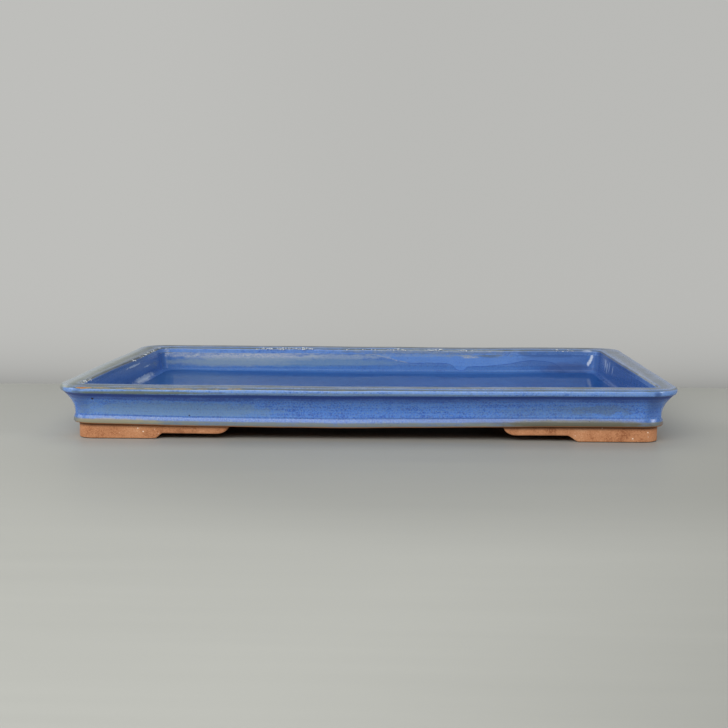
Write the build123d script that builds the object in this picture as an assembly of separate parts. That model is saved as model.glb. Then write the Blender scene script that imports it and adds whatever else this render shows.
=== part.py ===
from build123d import *
import math
import os

# Rectangular bonsai tray with a rolled lip, a coved wall, a base band and four
# stepped corner feet.  Slab built: every strip, slab and coil below is one
# separate piece of clay, luted face to face with its neighbours.
# Millimetres, +Z up, front of the tray towards -Y, feet standing on Z = 0.

# ---- overall size ----
TRAY_WIDTH = 510.0
TRAY_DEPTH = 360.0
TRAY_HEIGHT = 45.5

# ---- lip laid on top of the walls ----
RIM_WIDTH = 22.0
RIM_HEIGHT = 6.5
RIM_CORNER_RADIUS = 30.0
RIM_TOP_EDGE_RADIUS = 2.8
RIM_BOTTOM_EDGE_RADIUS = 2.2
RIM_INNER_EDGE_RADIUS = 2.6

# ---- coved wall ----
COVE_OVERHANG = 2.0
NECK_INSET = 12.6
WALL_BATTER = 2.0

# ---- floor slab ----
FLOOR_THICKNESS = 8.0

# ---- band round the base ----
BAND_PROUD = 1.3
BAND_LAP = 2.2
BAND_HEIGHT = 4.8
BAND_EDGE_RADIUS = 0.9

# ---- coils pressed into the inside seams ----
INNER_CORNER_RADIUS = 12.0
FLOOR_COIL_RADIUS = 6.0
FLOOR_COIL_FACETS = 5

# ---- corner feet ----
FOOT_HEIGHT = 13.0
FOOT_INSET = 16.0
FOOT_LONG_LEG = 127.5
FOOT_LONG_LEG_TALL = 66.0
FOOT_SHORT_LEG = 92.0
FOOT_SHORT_LEG_TALL = 46.0
FOOT_LEG_WIDTH = 22.0
FOOT_STEP_RUN = 9.0
FOOT_STEP_RISE = 5.2
FOOT_END_RUN = 10.0

# ---- holes through the floor ----
DRAIN_HOLE_RADIUS = 15.0
DRAIN_HOLE_SPACING = 250.0
WIRE_HOLE_RADIUS = 3.0
WIRE_HOLE_SPACING_X = 120.0
WIRE_HOLE_SPACING_Y = 56.0

# ---- fits ----
# Seams are luted face to face, so every joint has no gap.
SEAM_CLEARANCE = 0.0

# How far a cutting block runs past what it cuts.
CUT_PAST = 10.0

# ---- insets and levels that follow from the sizes ----
BAND_INSET = NECK_INSET - BAND_PROUD
FLOOR_INSET = NECK_INSET + BAND_LAP
FLOOR_CORNER_CUT = (2 - math.sqrt(2)) * (RIM_CORNER_RADIUS - FLOOR_INSET)
WALL_FOOT_INSET = RIM_WIDTH + WALL_BATTER
FOOT_CORNER_RADIUS = RIM_CORNER_RADIUS - FOOT_INSET
CORE_INSET = RIM_CORNER_RADIUS - 1.0
FLOOR_BOTTOM = FOOT_HEIGHT
FLOOR_TOP = FLOOR_BOTTOM + FLOOR_THICKNESS
WALL_TOP = TRAY_HEIGHT - RIM_HEIGHT
COIL_TOP = FLOOR_TOP + FLOOR_COIL_RADIUS


def outline(inset, radius):
    """Plan outline of the tray drawn in by inset, with rounded corners."""
    width = TRAY_WIDTH - 2 * inset
    depth = TRAY_DEPTH - 2 * inset
    return RectangleRounded(width, depth, radius)


def plan_block(inset, radius, z_low, z_high):
    """Upright block with the tray's plan outline."""
    face = Pos(0, 0, z_low) * outline(inset, radius)
    return extrude(face, amount=z_high - z_low)


def profile_plane():
    """Plane across the middle of the front, first axis inwards, second axis up."""
    return Plane(origin=(0, -TRAY_DEPTH / 2, 0), x_dir=(0, 1, 0), z_dir=(1, 0, 0))


def moulded_block(face_edges, z_low, z_high):
    """Solid block whose edge follows a moulding drawn as inset against height.

    face_edges run from the bottom of the moulding to its top.  A ring is swept
    round the outline and a plain core, lapping into the ring, fills its middle.
    """
    line = Wire(face_edges)
    bottom = line @ 0
    top = line @ 1
    back_low = Line(bottom, (CORE_INSET, z_low))
    back = Line((CORE_INSET, z_low), (CORE_INSET, z_high))
    back_high = Line((CORE_INSET, z_high), top)
    section = profile_plane() * make_face(face_edges + [back_low, back, back_high])
    path = outline(0, RIM_CORNER_RADIUS).wire()
    ring = sweep(section, path=run_from_front(path))
    lap = RIM_CORNER_RADIUS - CORE_INSET
    core = plan_block(CORE_INSET - lap, 2 * lap, z_low, z_high)
    return ring + core


def run_from_front(path):
    """The same closed path, started at the middle of the front side."""
    edges = path.edges()
    front = edges.sort_by(Axis.Y)[0]
    middle = Vertex(0, -TRAY_DEPTH / 2, 0).center()
    ends = sorted([front @ 0, front @ 1], key=lambda point: point.X)
    first = Line(middle, ends[1])
    last = Line(ends[0], middle)
    others = [edge for edge in edges if edge.center().Y > front.center().Y + 0.01]
    return Wire([first, last] + others)


def cove_edges():
    """Outer face of the wall, upright at the neck and curling out under the lip."""
    middle = (FLOOR_TOP + WALL_TOP) / 2
    neck = (NECK_INSET, FLOOR_TOP)
    return [Bezier(neck, (NECK_INSET, middle), (COVE_OVERHANG, WALL_TOP))]


def band_edges():
    """Outer face of the base band, rounded at both edges, hollowed up to the neck."""
    low = FLOOR_BOTTOM
    high = FLOOR_BOTTOM + BAND_HEIGHT
    edge = BAND_EDGE_RADIUS
    lower = RadiusArc((BAND_INSET + edge, low), (BAND_INSET, low + edge), edge)
    face = Line((BAND_INSET, low + edge), (BAND_INSET, high - edge))
    upper = RadiusArc((BAND_INSET, high - edge), (BAND_INSET + edge, high), edge)
    shoulder = Line((BAND_INSET + edge, high), (NECK_INSET, FLOOR_TOP))
    return [lower, face, upper, shoulder]


def lip_edges():
    """Outer face of the lip, a rolled bead standing out over the cove."""
    low = WALL_TOP
    high = TRAY_HEIGHT
    low_r = RIM_BOTTOM_EDGE_RADIUS
    high_r = RIM_TOP_EDGE_RADIUS
    lower = RadiusArc((low_r, low), (0, low + low_r), low_r)
    face = Line((0, low + low_r), (0, high - high_r))
    upper = RadiusArc((0, high - high_r), (high_r, high), high_r)
    return [lower, face, upper]


def sectors():
    """The four mitred quarters of the plan, by side."""
    reach_x = TRAY_WIDTH / 2 + CUT_PAST
    reach_y = TRAY_DEPTH / 2 + CUT_PAST
    ridge = (TRAY_WIDTH - TRAY_DEPTH) / 2
    outlines = {
        "front": [(-reach_x, -reach_y), (reach_x, -reach_y), (ridge, 0), (-ridge, 0)],
        "back": [(-reach_x, reach_y), (-ridge, 0), (ridge, 0), (reach_x, reach_y)],
        "left": [(-reach_x, -reach_y), (-ridge, 0), (-reach_x, reach_y)],
        "right": [(reach_x, -reach_y), (reach_x, reach_y), (ridge, 0)],
    }
    blocks = {}
    for side, points in outlines.items():
        face = make_face(Polyline(points, close=True))
        blocks[side] = extrude(face, amount=TRAY_HEIGHT + CUT_PAST)
    return blocks


def mitred(ring, name):
    """Cut a ring into front, back, left and right strips with mitred ends."""
    return {f"{side}_{name}": ring & block for side, block in sectors().items()}


def square_hollow():
    """Space between the four flat inner wall faces, floor to wall top."""
    floor_w = TRAY_WIDTH - 2 * WALL_FOOT_INSET
    floor_d = TRAY_DEPTH - 2 * WALL_FOOT_INSET
    top_w = TRAY_WIDTH - 2 * RIM_WIDTH
    top_d = TRAY_DEPTH - 2 * RIM_WIDTH
    low = Pos(0, 0, FLOOR_TOP) * Rectangle(floor_w, floor_d)
    high = Pos(0, 0, WALL_TOP) * Rectangle(top_w, top_d)
    return loft([low, high], ruled=True)


def wall_inset(height):
    """Inset of the flat inner wall face at a height above the floor."""
    return WALL_FOOT_INSET - WALL_BATTER * height / (WALL_TOP - FLOOR_TOP)


def soft_hollow():
    """The same space once the seams have been filled with coils.

    The floor coil is smoothed to a hollow quarter round, laid out in flat facets.
    """
    levels = []
    for step in range(FLOOR_COIL_FACETS + 1):
        angle = math.radians(90 * step / FLOOR_COIL_FACETS)
        height = FLOOR_COIL_RADIUS * (1 - math.cos(angle))
        reach = FLOOR_COIL_RADIUS * (1 - math.sin(angle))
        plan = outline(wall_inset(height) + reach, INNER_CORNER_RADIUS)
        levels.append(Pos(0, 0, FLOOR_TOP + height) * plan)
    levels.append(Pos(0, 0, WALL_TOP) * outline(RIM_WIDTH, INNER_CORNER_RADIUS))
    return loft(levels, ruled=True)


def rim_pieces():
    """Four lip strips laid flat on the wall tops."""
    block = moulded_block(lip_edges(), WALL_TOP, TRAY_HEIGHT)
    low = WALL_TOP - CUT_PAST
    high = TRAY_HEIGHT + CUT_PAST
    opening = plan_block(RIM_WIDTH, INNER_CORNER_RADIUS, low, high)
    ring = block - opening
    top_face = ring.faces().sort_by(Axis.Z)[-1]
    ring = fillet(top_face.inner_wires()[0].edges(), RIM_INNER_EDGE_RADIUS)
    return mitred(ring, "rim")


def wall_pieces():
    """Four coved walls standing on the floor slab and the base band."""
    block = moulded_block(cove_edges(), FLOOR_TOP, WALL_TOP)
    return mitred(block - square_hollow(), "wall")


def band_pieces():
    """Four strips luted round the edge of the floor slab."""
    block = moulded_block(band_edges(), FLOOR_BOTTOM, FLOOR_TOP)
    return mitred(block - slab_block(SEAM_CLEARANCE), "base_band")


def coil_pieces():
    """Coils in the floor seams and in the upright corner seams."""
    filling = square_hollow() - soft_hollow()
    lower = filling & plan_block(0, RIM_CORNER_RADIUS, FLOOR_TOP, COIL_TOP)
    upper = filling & plan_block(0, RIM_CORNER_RADIUS, COIL_TOP, WALL_TOP)
    pieces = mitred(lower, "floor_coil")
    for solid in upper.solids():
        pieces[f"{corner_name(solid.center())}_corner_coil"] = solid
    return pieces


def corner_name(point):
    """Name of the corner of the tray nearest to a point."""
    end = "front" if point.Y < 0 else "back"
    side = "left" if point.X < 0 else "right"
    return f"{end}_{side}"


def slab_block(clearance):
    """Floor slab without its holes, corners cut off, grown all round by clearance."""
    width = TRAY_WIDTH - 2 * (FLOOR_INSET - clearance)
    depth = TRAY_DEPTH - 2 * (FLOOR_INSET - clearance)
    middle = (FLOOR_BOTTOM + FLOOR_TOP) / 2
    slab = Pos(0, 0, middle) * Box(width, depth, FLOOR_THICKNESS)
    return chamfer(slab.edges().filter_by(Axis.Z), FLOOR_CORNER_CUT)


def floor_piece():
    """Floor slab with drain holes and wire holes."""
    slab = slab_block(0)
    places = [(side * DRAIN_HOLE_SPACING / 2, 0, DRAIN_HOLE_RADIUS) for side in (-1, 1)]
    for side in (-1, 1):
        for end in (-1, 1):
            x = side * WIRE_HOLE_SPACING_X / 2
            y = end * WIRE_HOLE_SPACING_Y / 2
            places.append((x, y, WIRE_HOLE_RADIUS))
    middle = (FLOOR_BOTTOM + FLOOR_TOP) / 2
    for x, y, radius in places:
        slab = slab - Pos(x, y, middle) * Cylinder(radius, 2 * FLOOR_THICKNESS)
    return slab


def leg_face(length, tall):
    """Side view of one leg of a foot: distance from the corner against height."""
    step = tall + FOOT_STEP_RUN
    curl = length - FOOT_END_RUN
    half_run = FOOT_STEP_RUN / 2
    half_rise = FOOT_STEP_RISE / 2
    edges = [
        Line((0, FOOT_HEIGHT), (0, 0)),
        Line((0, 0), (tall, 0)),
        Spline(
            [(tall, 0), (tall + half_run, half_rise), (step, FOOT_STEP_RISE)],
            tangents=[(0.35, 1), (1, 0.15)],
        ),
        Line((step, FOOT_STEP_RISE), (curl, FOOT_STEP_RISE)),
        EllipticalCenterArc(
            (curl, FOOT_HEIGHT), FOOT_END_RUN, FOOT_HEIGHT - FOOT_STEP_RISE, 270, arc_size=90
        ),
        Line((length, FOOT_HEIGHT), (0, FOOT_HEIGHT)),
    ]
    return make_face(edges)


def foot():
    """L-shaped stepped foot for the front left corner, its corner at the origin."""
    long_plane = Plane(origin=(0, 0, 0), x_dir=(1, 0, 0), z_dir=(0, -1, 0))
    short_plane = Plane(origin=(0, 0, 0), x_dir=(0, 1, 0), z_dir=(1, 0, 0))
    long_face = long_plane * leg_face(FOOT_LONG_LEG, FOOT_LONG_LEG_TALL)
    short_face = short_plane * leg_face(FOOT_SHORT_LEG, FOOT_SHORT_LEG_TALL)
    long_leg = extrude(long_face, amount=-FOOT_LEG_WIDTH)
    short_leg = extrude(short_face, amount=FOOT_LEG_WIDTH)
    both = long_leg + short_leg
    uprights = both.edges().filter_by(Axis.Z)
    corner = uprights.sort_by(lambda edge: edge.center().X + edge.center().Y)[0]
    return fillet(corner, FOOT_CORNER_RADIUS)


def foot_pieces():
    """The four feet, each mirrored into its own corner."""
    corner = Pos(-TRAY_WIDTH / 2 + FOOT_INSET, -TRAY_DEPTH / 2 + FOOT_INSET, 0) * foot()
    right = mirror(corner, about=Plane.YZ)
    return {
        "front_left_foot": corner,
        "front_right_foot": right,
        "back_left_foot": mirror(corner, about=Plane.XZ),
        "back_right_foot": mirror(right, about=Plane.XZ),
    }


def main():
    os.makedirs("parts", exist_ok=True)
    pieces = {"floor_slab": floor_piece()}
    pieces.update(wall_pieces())
    pieces.update(rim_pieces())
    pieces.update(band_pieces())
    pieces.update(coil_pieces())
    pieces.update(foot_pieces())
    for name, shape in pieces.items():
        export_step(shape, f"parts/{name}.step")


if __name__ == "__main__":
    main()
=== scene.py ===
"""Visual model of a hand built rectangular bonsai tray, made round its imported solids.

Each clay strip, slab, coil and foot of the tray is rebuilt as its own mesh with softened
edges, the sag and waver of hand work, and a glazed or bare finish.  Sizes are in
millimetres until a mesh is written; the meshes themselves are in metres.
"""
import logging
import math
from collections.abc import Sequence
from dataclasses import dataclass, field, replace
from enum import Enum
from functools import cached_property
from typing import Any

import bmesh
import bpy
import numpy as np
from mathutils import Matrix, Vector
from mathutils.kdtree import KDTree


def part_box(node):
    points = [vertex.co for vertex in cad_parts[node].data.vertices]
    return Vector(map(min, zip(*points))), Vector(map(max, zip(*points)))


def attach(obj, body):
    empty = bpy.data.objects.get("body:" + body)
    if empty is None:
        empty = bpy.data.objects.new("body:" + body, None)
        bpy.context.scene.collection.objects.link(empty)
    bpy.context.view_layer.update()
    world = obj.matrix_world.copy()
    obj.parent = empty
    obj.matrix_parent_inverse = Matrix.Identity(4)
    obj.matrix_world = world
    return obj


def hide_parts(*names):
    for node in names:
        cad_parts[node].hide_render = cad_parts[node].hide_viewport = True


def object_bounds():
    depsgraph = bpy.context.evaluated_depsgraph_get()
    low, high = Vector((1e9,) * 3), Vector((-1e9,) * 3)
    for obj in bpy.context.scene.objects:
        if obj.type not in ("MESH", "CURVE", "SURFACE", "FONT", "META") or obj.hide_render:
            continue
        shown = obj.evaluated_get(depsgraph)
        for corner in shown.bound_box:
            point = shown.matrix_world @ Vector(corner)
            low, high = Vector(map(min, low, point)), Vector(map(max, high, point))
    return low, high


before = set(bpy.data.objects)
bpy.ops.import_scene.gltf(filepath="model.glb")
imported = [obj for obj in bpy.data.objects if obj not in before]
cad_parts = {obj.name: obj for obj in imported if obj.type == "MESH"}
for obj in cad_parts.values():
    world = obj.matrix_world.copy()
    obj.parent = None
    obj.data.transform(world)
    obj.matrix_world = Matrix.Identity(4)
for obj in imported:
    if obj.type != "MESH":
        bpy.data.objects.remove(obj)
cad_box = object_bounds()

MM = 0.001
BODY = "root"

# Most that two grid lines of the floor may lie apart, in millimetres, and still count as one.
NEAR = 0.01

# Pull of a guide point on a curve of a section.
PARABOLA = 1.0
QUARTER_ROUND = math.sqrt(0.5)

Colour = tuple[float, float, float, float]
Point = tuple[float, float, float]
Spot = tuple[float, float]
Tree = bpy.types.NodeTree
Material = bpy.types.Material
Mesh = bpy.types.Mesh
Piece = bpy.types.Object
Shell = bmesh.types.BMesh

log = logging.getLogger("bonsai_tray")


def paint(red: int, green: int, blue: int) -> Colour:
    """Turn a colour as seen on a screen into the linear colour that materials use.

    Args:
        red: Red, 0 to 255.
        green: Green, 0 to 255.
        blue: Blue, 0 to 255.

    Returns:
        The linear colour, with full alpha.
    """
    parts = []
    for part in (red, green, blue):
        level = part / 255
        parts.append(level / 12.92 if level <= 0.04045 else ((level + 0.055) / 1.055) ** 2.4)
    return parts[0], parts[1], parts[2], 1.0


# ---- node drafting


class Value:
    """Output of a node, with which sums are written out as with a number."""

    def __init__(self, draft: "NodeDraft", socket: bpy.types.NodeSocket) -> None:
        """Take an output of one of the draft's nodes."""
        self.draft = draft
        self.socket = socket

    def __add__(self, other: Any) -> "Value":
        """Sum of the two."""
        return self.draft.math("ADD", self, other)

    def __sub__(self, other: Any) -> "Value":
        """What the other one leaves of this one."""
        return self.draft.math("SUBTRACT", self, other)

    def __rsub__(self, other: Any) -> "Value":
        """What this one leaves of a plain number."""
        return self.draft.math("SUBTRACT", other, self)

    def __mul__(self, other: Any) -> "Value":
        """Product of the two."""
        return self.draft.math("MULTIPLY", self, other)

    def __truediv__(self, other: Any) -> "Value":
        """How often the other one goes into this one."""
        return self.draft.math("DIVIDE", self, other)

    def __abs__(self) -> "Value":
        """Distance from zero."""
        return self.draft.math("ABSOLUTE", self)


class NodeDraft:
    """Short hand for adding nodes to a tree and wiring them up."""

    def __init__(self, tree: Tree) -> None:
        """Start drafting in a tree."""
        self.tree = tree

    def node(self, kind: str, inputs: dict | None = None, **settings: Any) -> bpy.types.Node:
        """Add a node.

        Args:
            kind: Blender's type name of the node.
            inputs: Values or plain settings of its inputs, by socket name or number.
            **settings: Properties of the node.

        Returns:
            The new node.
        """
        node = self.tree.nodes.new(kind)
        for name, value in settings.items():
            setattr(node, name, value)
        for key, value in (inputs or {}).items():
            if isinstance(value, Value):
                self.tree.links.new(value.socket, node.inputs[key])
            else:
                node.inputs[key].default_value = value
        return node

    def out(self, kind: str, inputs: dict | None = None, output: Any = 0, **settings: Any) -> Value:
        """Add a node and take one of its outputs, by name or number."""
        return Value(self, self.node(kind, inputs, **settings).outputs[output])

    def math(self, operation: str, *values: Any) -> Value:
        """Work out a number from others."""
        return self.out("ShaderNodeMath", dict(enumerate(values)), operation=operation)

    def vector(self, operation: str, *values: Any) -> Value:
        """Work out a vector from others."""
        return self.out("ShaderNodeVectorMath", dict(enumerate(values)), operation=operation)

    def scaled(self, vector: Any, factor: Any) -> Value:
        """Multiply a vector by a number."""
        return self.out("ShaderNodeVectorMath", {0: vector, "Scale": factor}, operation="SCALE")

    def length(self, vector: Any) -> Value:
        """Length of a vector."""
        return self.out("ShaderNodeVectorMath", {0: vector}, "Value", operation="LENGTH")

    def split(self, vector: Any) -> list[Value]:
        """The three parts of a vector."""
        return [Value(self, part) for part in self.node("ShaderNodeSeparateXYZ", {0: vector}).outputs]

    def joined(self, x: Any, y: Any, z: Any) -> Value:
        """A vector from three parts."""
        return self.out("ShaderNodeCombineXYZ", {0: x, 1: y, 2: z})

    def step(self, value: Any, low: Any, high: Any, start: Any = 0.0, end: Any = 1.0) -> Value:
        """Pass smoothly from start to end as a value crosses the range from low to high."""
        limits = {"Value": value, "From Min": low, "From Max": high, "To Min": start, "To Max": end}
        return self.out("ShaderNodeMapRange", limits, "Result", interpolation_type="SMOOTHSTEP")

    def noise(self, vector: Any, scale: Any, detail: float = 2.0, rough: float = 0.5) -> Value:
        """Smooth noise between 0 and 1, with octaves of finer noise and their strength."""
        inputs = {"Vector": vector, "Scale": scale, "Detail": detail, "Roughness": rough}
        return self.out("ShaderNodeTexNoise", inputs)

    def waver(self, vector: Any, size: Any, amount: Any, detail: float) -> Value:
        """Three-way noise centred on zero, for pushing points about.

        Args:
            vector: Where the noise is read.
            size: Size of its waves.
            amount: Height of its waves.
            detail: Octaves of finer noise.

        Returns:
            The push.
        """
        inputs = {"Vector": vector, "Scale": self.math("DIVIDE", 1.0, size), "Detail": detail}
        noise = self.out("ShaderNodeTexNoise", inputs, "Color")
        return self.scaled(self.vector("SUBTRACT", noise, (0.5, 0.5, 0.5)), amount)

    def between(self, share: Any, first: Any, second: Any) -> Value:
        """Number that lies a share of the way from the first to the second."""
        return self.out("ShaderNodeMix", {0: share, 2: first, 3: second})

    def blend(self, share: Any, first: Any, second: Any) -> Value:
        """Mix a share of the second colour into the first."""
        return self.out("ShaderNodeMix", {0: share, 6: first, 7: second}, 2, data_type="RGBA")


# ---- geometry node trees


def new_tree(name: str, inputs: dict[str, float | int]) -> tuple[NodeDraft, dict[str, Value]]:
    """Start a geometry node tree.

    Args:
        name: Name of the tree.
        inputs: Starting value of each input besides the geometry and the material.

    Returns:
        The draft, and the inputs by name.
    """
    tree = bpy.data.node_groups.new(name, "GeometryNodeTree")
    tree.interface.new_socket("Geometry", in_out="OUTPUT", socket_type="NodeSocketGeometry")
    tree.interface.new_socket("Geometry", in_out="INPUT", socket_type="NodeSocketGeometry")
    for label, value in inputs.items():
        kind = "NodeSocketInt" if isinstance(value, int) else "NodeSocketFloat"
        tree.interface.new_socket(label, in_out="INPUT", socket_type=kind).default_value = value
    tree.interface.new_socket("Material", in_out="INPUT", socket_type="NodeSocketMaterial")
    draft = NodeDraft(tree)
    entry = draft.node("NodeGroupInput")
    return draft, {socket.name: Value(draft, socket) for socket in entry.outputs if socket.name}


def end_tree(draft: NodeDraft, geometry: Value, material: Value) -> Tree:
    """Close a tree with real geometry in its material.

    Args:
        draft: The draft of the tree.
        geometry: The finished geometry.
        material: Its material.

    Returns:
        The finished tree.
    """
    real = draft.out("GeometryNodeRealizeInstances", {"Geometry": geometry})
    dressed = draft.out("GeometryNodeSetMaterial", {"Geometry": real, "Material": material})
    draft.node("NodeGroupOutput", {0: dressed})
    return draft.tree


def read_attribute(draft: NodeDraft, name: str) -> Value:
    """Number stored on the points under a name."""
    return draft.out("GeometryNodeInputNamedAttribute", {"Name": name}, "Attribute", data_type="FLOAT")


def store_attribute(draft: NodeDraft, geometry: Value, name: str, value: Value) -> Value:
    """Geometry with a number stored on every point under a name."""
    inputs = {"Geometry": geometry, "Name": name, "Value": value}
    return draft.out("GeometryNodeStoreNamedAttribute", inputs, data_type="FLOAT", domain="POINT")


def random_share(draft: NodeDraft, seed: Value) -> Value:
    """Random number between 0 and 1 for each point."""
    node = draft.node("FunctionNodeRandomValue", {"Seed": seed}, data_type="FLOAT")
    return Value(draft, next(socket for socket in node.outputs if socket.enabled))


def random_vector(draft: NodeDraft, seed: Value, low: Point, high: Point) -> Value:
    """Random vector between two others for each point."""
    inputs = {"Min": low, "Max": high, "Seed": seed}
    return draft.out("FunctionNodeRandomValue", inputs, data_type="FLOAT_VECTOR")


def moulded_strip_tree() -> Tree:
    """Tree that runs a section along one side of the tray, from mitre to mitre.

    The geometry that goes in is the closed outline of the section: inset from the edge
    of the tray against height.  Each point also holds its bend radius round the corner,
    and whether it keeps to a square corner instead.

    Returns:
        The tree.
    """
    draft, given = new_tree("moulded strip", {
        "Half Length": 0.25,
        "Half Reach": 0.18,
        "Turn": 0.0,
        "Half Straight Steps": 100,
        "Corner Steps": 10,
    })
    inset, level, _ = draft.split(draft.out("GeometryNodeInputPosition"))
    section = store_attribute(draft, given["Geometry"], "inset", inset)
    section = store_attribute(draft, section, "level", level)
    section = draft.out("GeometryNodeMeshToCurve", {0: section})

    # The section is first swept along a straight row of numbered stations.
    half_steps = given["Half Straight Steps"] + given["Corner Steps"]
    line = draft.out("GeometryNodeCurvePrimitiveLine", {"End": (1.0, 0.0, 0.0)})
    path = draft.out("GeometryNodeResampleCurve", {"Curve": line, "Count": half_steps * 2.0 + 1.0})
    path = store_attribute(draft, path, "station", draft.out("GeometryNodeInputIndex"))
    sweep = {"Curve": path, "Profile Curve": section, "Fill Caps": True}
    swept = draft.out("GeometryNodeCurveToMesh", sweep)

    # Seen from the middle of the side, the stations run straight on and then round the corner.
    step = read_attribute(draft, "station") - half_steps
    away = abs(step)
    along_share = draft.math("MINIMUM", away / given["Half Straight Steps"], 1.0)
    corner_step = draft.math("MAXIMUM", away - given["Half Straight Steps"], 0.0)
    angle = corner_step / given["Corner Steps"] * (math.pi / 4)

    # Each point goes to its place along the front and out from the middle, then to its own side.
    inset = read_attribute(draft, "inset")
    bend = read_attribute(draft, "bend")
    square = read_attribute(draft, "square")
    straight = (given["Half Length"] - inset - bend) * along_share
    turning = draft.between(square, draft.math("SINE", angle), draft.math("TANGENT", angle))
    along = (bend * turning + straight) * draft.math("SIGN", step)
    drawn_in = (1.0 - draft.math("COSINE", angle)) * (1.0 - square)
    out = given["Half Reach"] - inset - bend * drawn_in
    flat = draft.joined(along, out * -1.0, read_attribute(draft, "level"))
    turn = {"Vector": flat, "Angle": given["Turn"]}
    turned = draft.out("ShaderNodeVectorRotate", turn, rotation_type="Z_AXIS")
    bent = draft.out("GeometryNodeSetPosition", {"Geometry": swept, "Position": turned})
    smooth = draft.out("GeometryNodeSetShadeSmooth", {"Geometry": bent})
    return end_tree(draft, smooth, given["Material"])


def hand_shaping_tree() -> Tree:
    """Tree that gives a piece the sag and waver of a tray that was built and fired by hand.

    The push depends only on place, so neighbouring pieces stay closed against each other.

    Returns:
        The tree.
    """
    draft, given = new_tree("hand shaping", {
        "Half Length": 0.25,
        "Half Reach": 0.18,
        "Foot Height": 0.013,
        "Height": 0.045,
        "Sag": 0.0023,
        "Sag Centre": -0.045,
        "Sag Run": 0.235,
        "Sag Left At Lip": 0.3,
        "Back Left Lift": 0.0,
        "Back Middle Lift": 0.0,
        "Back Left Skew": 0.0,
        "Front Left Lift": 0.0,
        "Left Opening Shift": 0.0,
        "Right Opening Shift": 0.0,
        "Waver": 0.0012,
        "Waver Size": 0.08,
        "Ripple": 0.0001,
        "Ripple Size": 0.016,
        "Seed": 4.0,
    })
    place = draft.out("GeometryNodeInputPosition")
    x, y, z = draft.split(place)
    raised = draft.out("ShaderNodeClamp", {0: z / given["Foot Height"]})
    rise = z / given["Height"]
    side = x / given["Half Length"]
    outward = abs(side)
    back = draft.step(y / given["Half Reach"], -1.0, 1.0)
    front = 1.0 - back
    from_front = y + given["Half Reach"]

    # The long sides sag, most at the base band and half as much at the back.
    run = (x - given["Sag Centre"]) / given["Sag Run"]
    run = draft.out("ShaderNodeClamp", {0: run, 1: -1.0, 2: 1.0})
    belly = draft.math("COSINE", run * (math.pi / 2))
    left_over = draft.between(rise, 1.3, given["Sag Left At Lip"])
    depth = belly * belly * left_over * given["Sag"] * raised
    depth = depth * draft.step(back, 0.0, 1.0, 1.0, 0.5)

    # The lip is warped along the back and lifted at the front left.
    warp = draft.step(side, -0.43, 0.35, given["Back Left Lift"], given["Back Middle Lift"])
    warp = draft.step(side, 0.47, 0.9, warp, 0.0) * (back * rise)
    lift = draft.step(side, 0.3, -0.7) * given["Front Left Lift"]
    lift = lift * draft.step(from_front, 0.004, 0.018) * (front * rise)
    # The back left corner is drawn in, and the opening widens towards the front.
    skew = draft.step(side, 0.0, -1.0) * back * given["Back Left Skew"]
    shift = draft.step(side, -0.5, 0.5, given["Left Opening Shift"], given["Right Opening Shift"])
    inside = draft.step(outward, 0.65, 0.9) * draft.step(outward, 0.914, 0.948, 1.0, 0.0)
    inside = inside * draft.step(rise, 0.3, 0.46) * draft.step(from_front, 0.0135, 0.0205)
    settle = draft.joined(skew + shift * (inside * front), 0.0, warp + lift - depth)

    # Broad waver and fine ripple, which fade out down the feet so that they stand flat.
    seeded = draft.vector("ADD", place, draft.joined(given["Seed"], given["Seed"], 0.0))
    waver = draft.waver(seeded, given["Waver Size"], given["Waver"], 1.0)
    ripple = draft.waver(seeded, given["Ripple Size"], given["Ripple"], 2.0)
    push = draft.scaled(draft.vector("ADD", waver, ripple), raised)
    new_place = draft.vector("ADD", place, draft.vector("ADD", settle, push))
    new_x, new_y, new_z = draft.split(new_place)
    new_place = draft.joined(new_x, new_y, draft.math("MINIMUM", new_z, given["Height"]))
    moved = {"Geometry": given["Geometry"], "Position": new_place}
    return end_tree(draft, draft.out("GeometryNodeSetPosition", moved), given["Material"])


def crust_tree() -> Tree:
    """Tree that strews small lumps of crusted glaze along the lines of a wire mesh.

    Returns:
        The tree.
    """
    draft, given = new_tree("crust flecks", {
        "Pitch": 0.0005,
        "Spread": 0.0014,
        "Smallest": 0.00025,
        "Largest": 0.0009,
        "Patch Size": 0.014,
        "Share Kept": 0.8,
        "Seed": 3,
    })
    seed = given["Seed"]
    lines = draft.out("GeometryNodeMeshToCurve", {0: given["Geometry"]})
    pitch = {"Curve": lines, "Length": given["Pitch"]}
    dots = draft.out("GeometryNodeResampleCurve", pitch, mode="LENGTH")
    place = draft.out("GeometryNodeInputPosition")
    # Points are kept in clumps only, and each becomes a flat lump of its own size.
    clumps = draft.noise(place, draft.math("DIVIDE", 1.0, given["Patch Size"]), 2.0)
    wanted = draft.step(clumps, 0.4, 0.62) * given["Share Kept"]
    bare = draft.math("GREATER_THAN", random_share(draft, seed), wanted)
    kept = draft.out("GeometryNodeDeleteGeometry", {"Geometry": dots, "Selection": bare})
    shaken = random_vector(draft, seed, (-1.0, -1.0, -1.0), (1.0, 1.0, 0.3))
    shaken = draft.scaled(shaken, given["Spread"])
    strewn = draft.out("GeometryNodeSetPosition", {"Geometry": kept, "Offset": shaken})
    span = given["Largest"] - given["Smallest"]
    size = draft.math("POWER", random_share(draft, seed), 2.0) * span + given["Smallest"]
    flat = draft.joined(size * 1.5, size, size * 0.6)
    lump = draft.out("GeometryNodeMeshIcoSphere", {"Radius": 1.0, "Subdivisions": 1})
    spin = random_vector(draft, seed, (-0.4, -0.4, 0.0), (0.4, 0.4, 6.28))
    placed = {"Points": strewn, "Instance": lump, "Rotation": spin, "Scale": flat}
    return end_tree(draft, draft.out("GeometryNodeInstanceOnPoints", placed), given["Material"])


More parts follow.
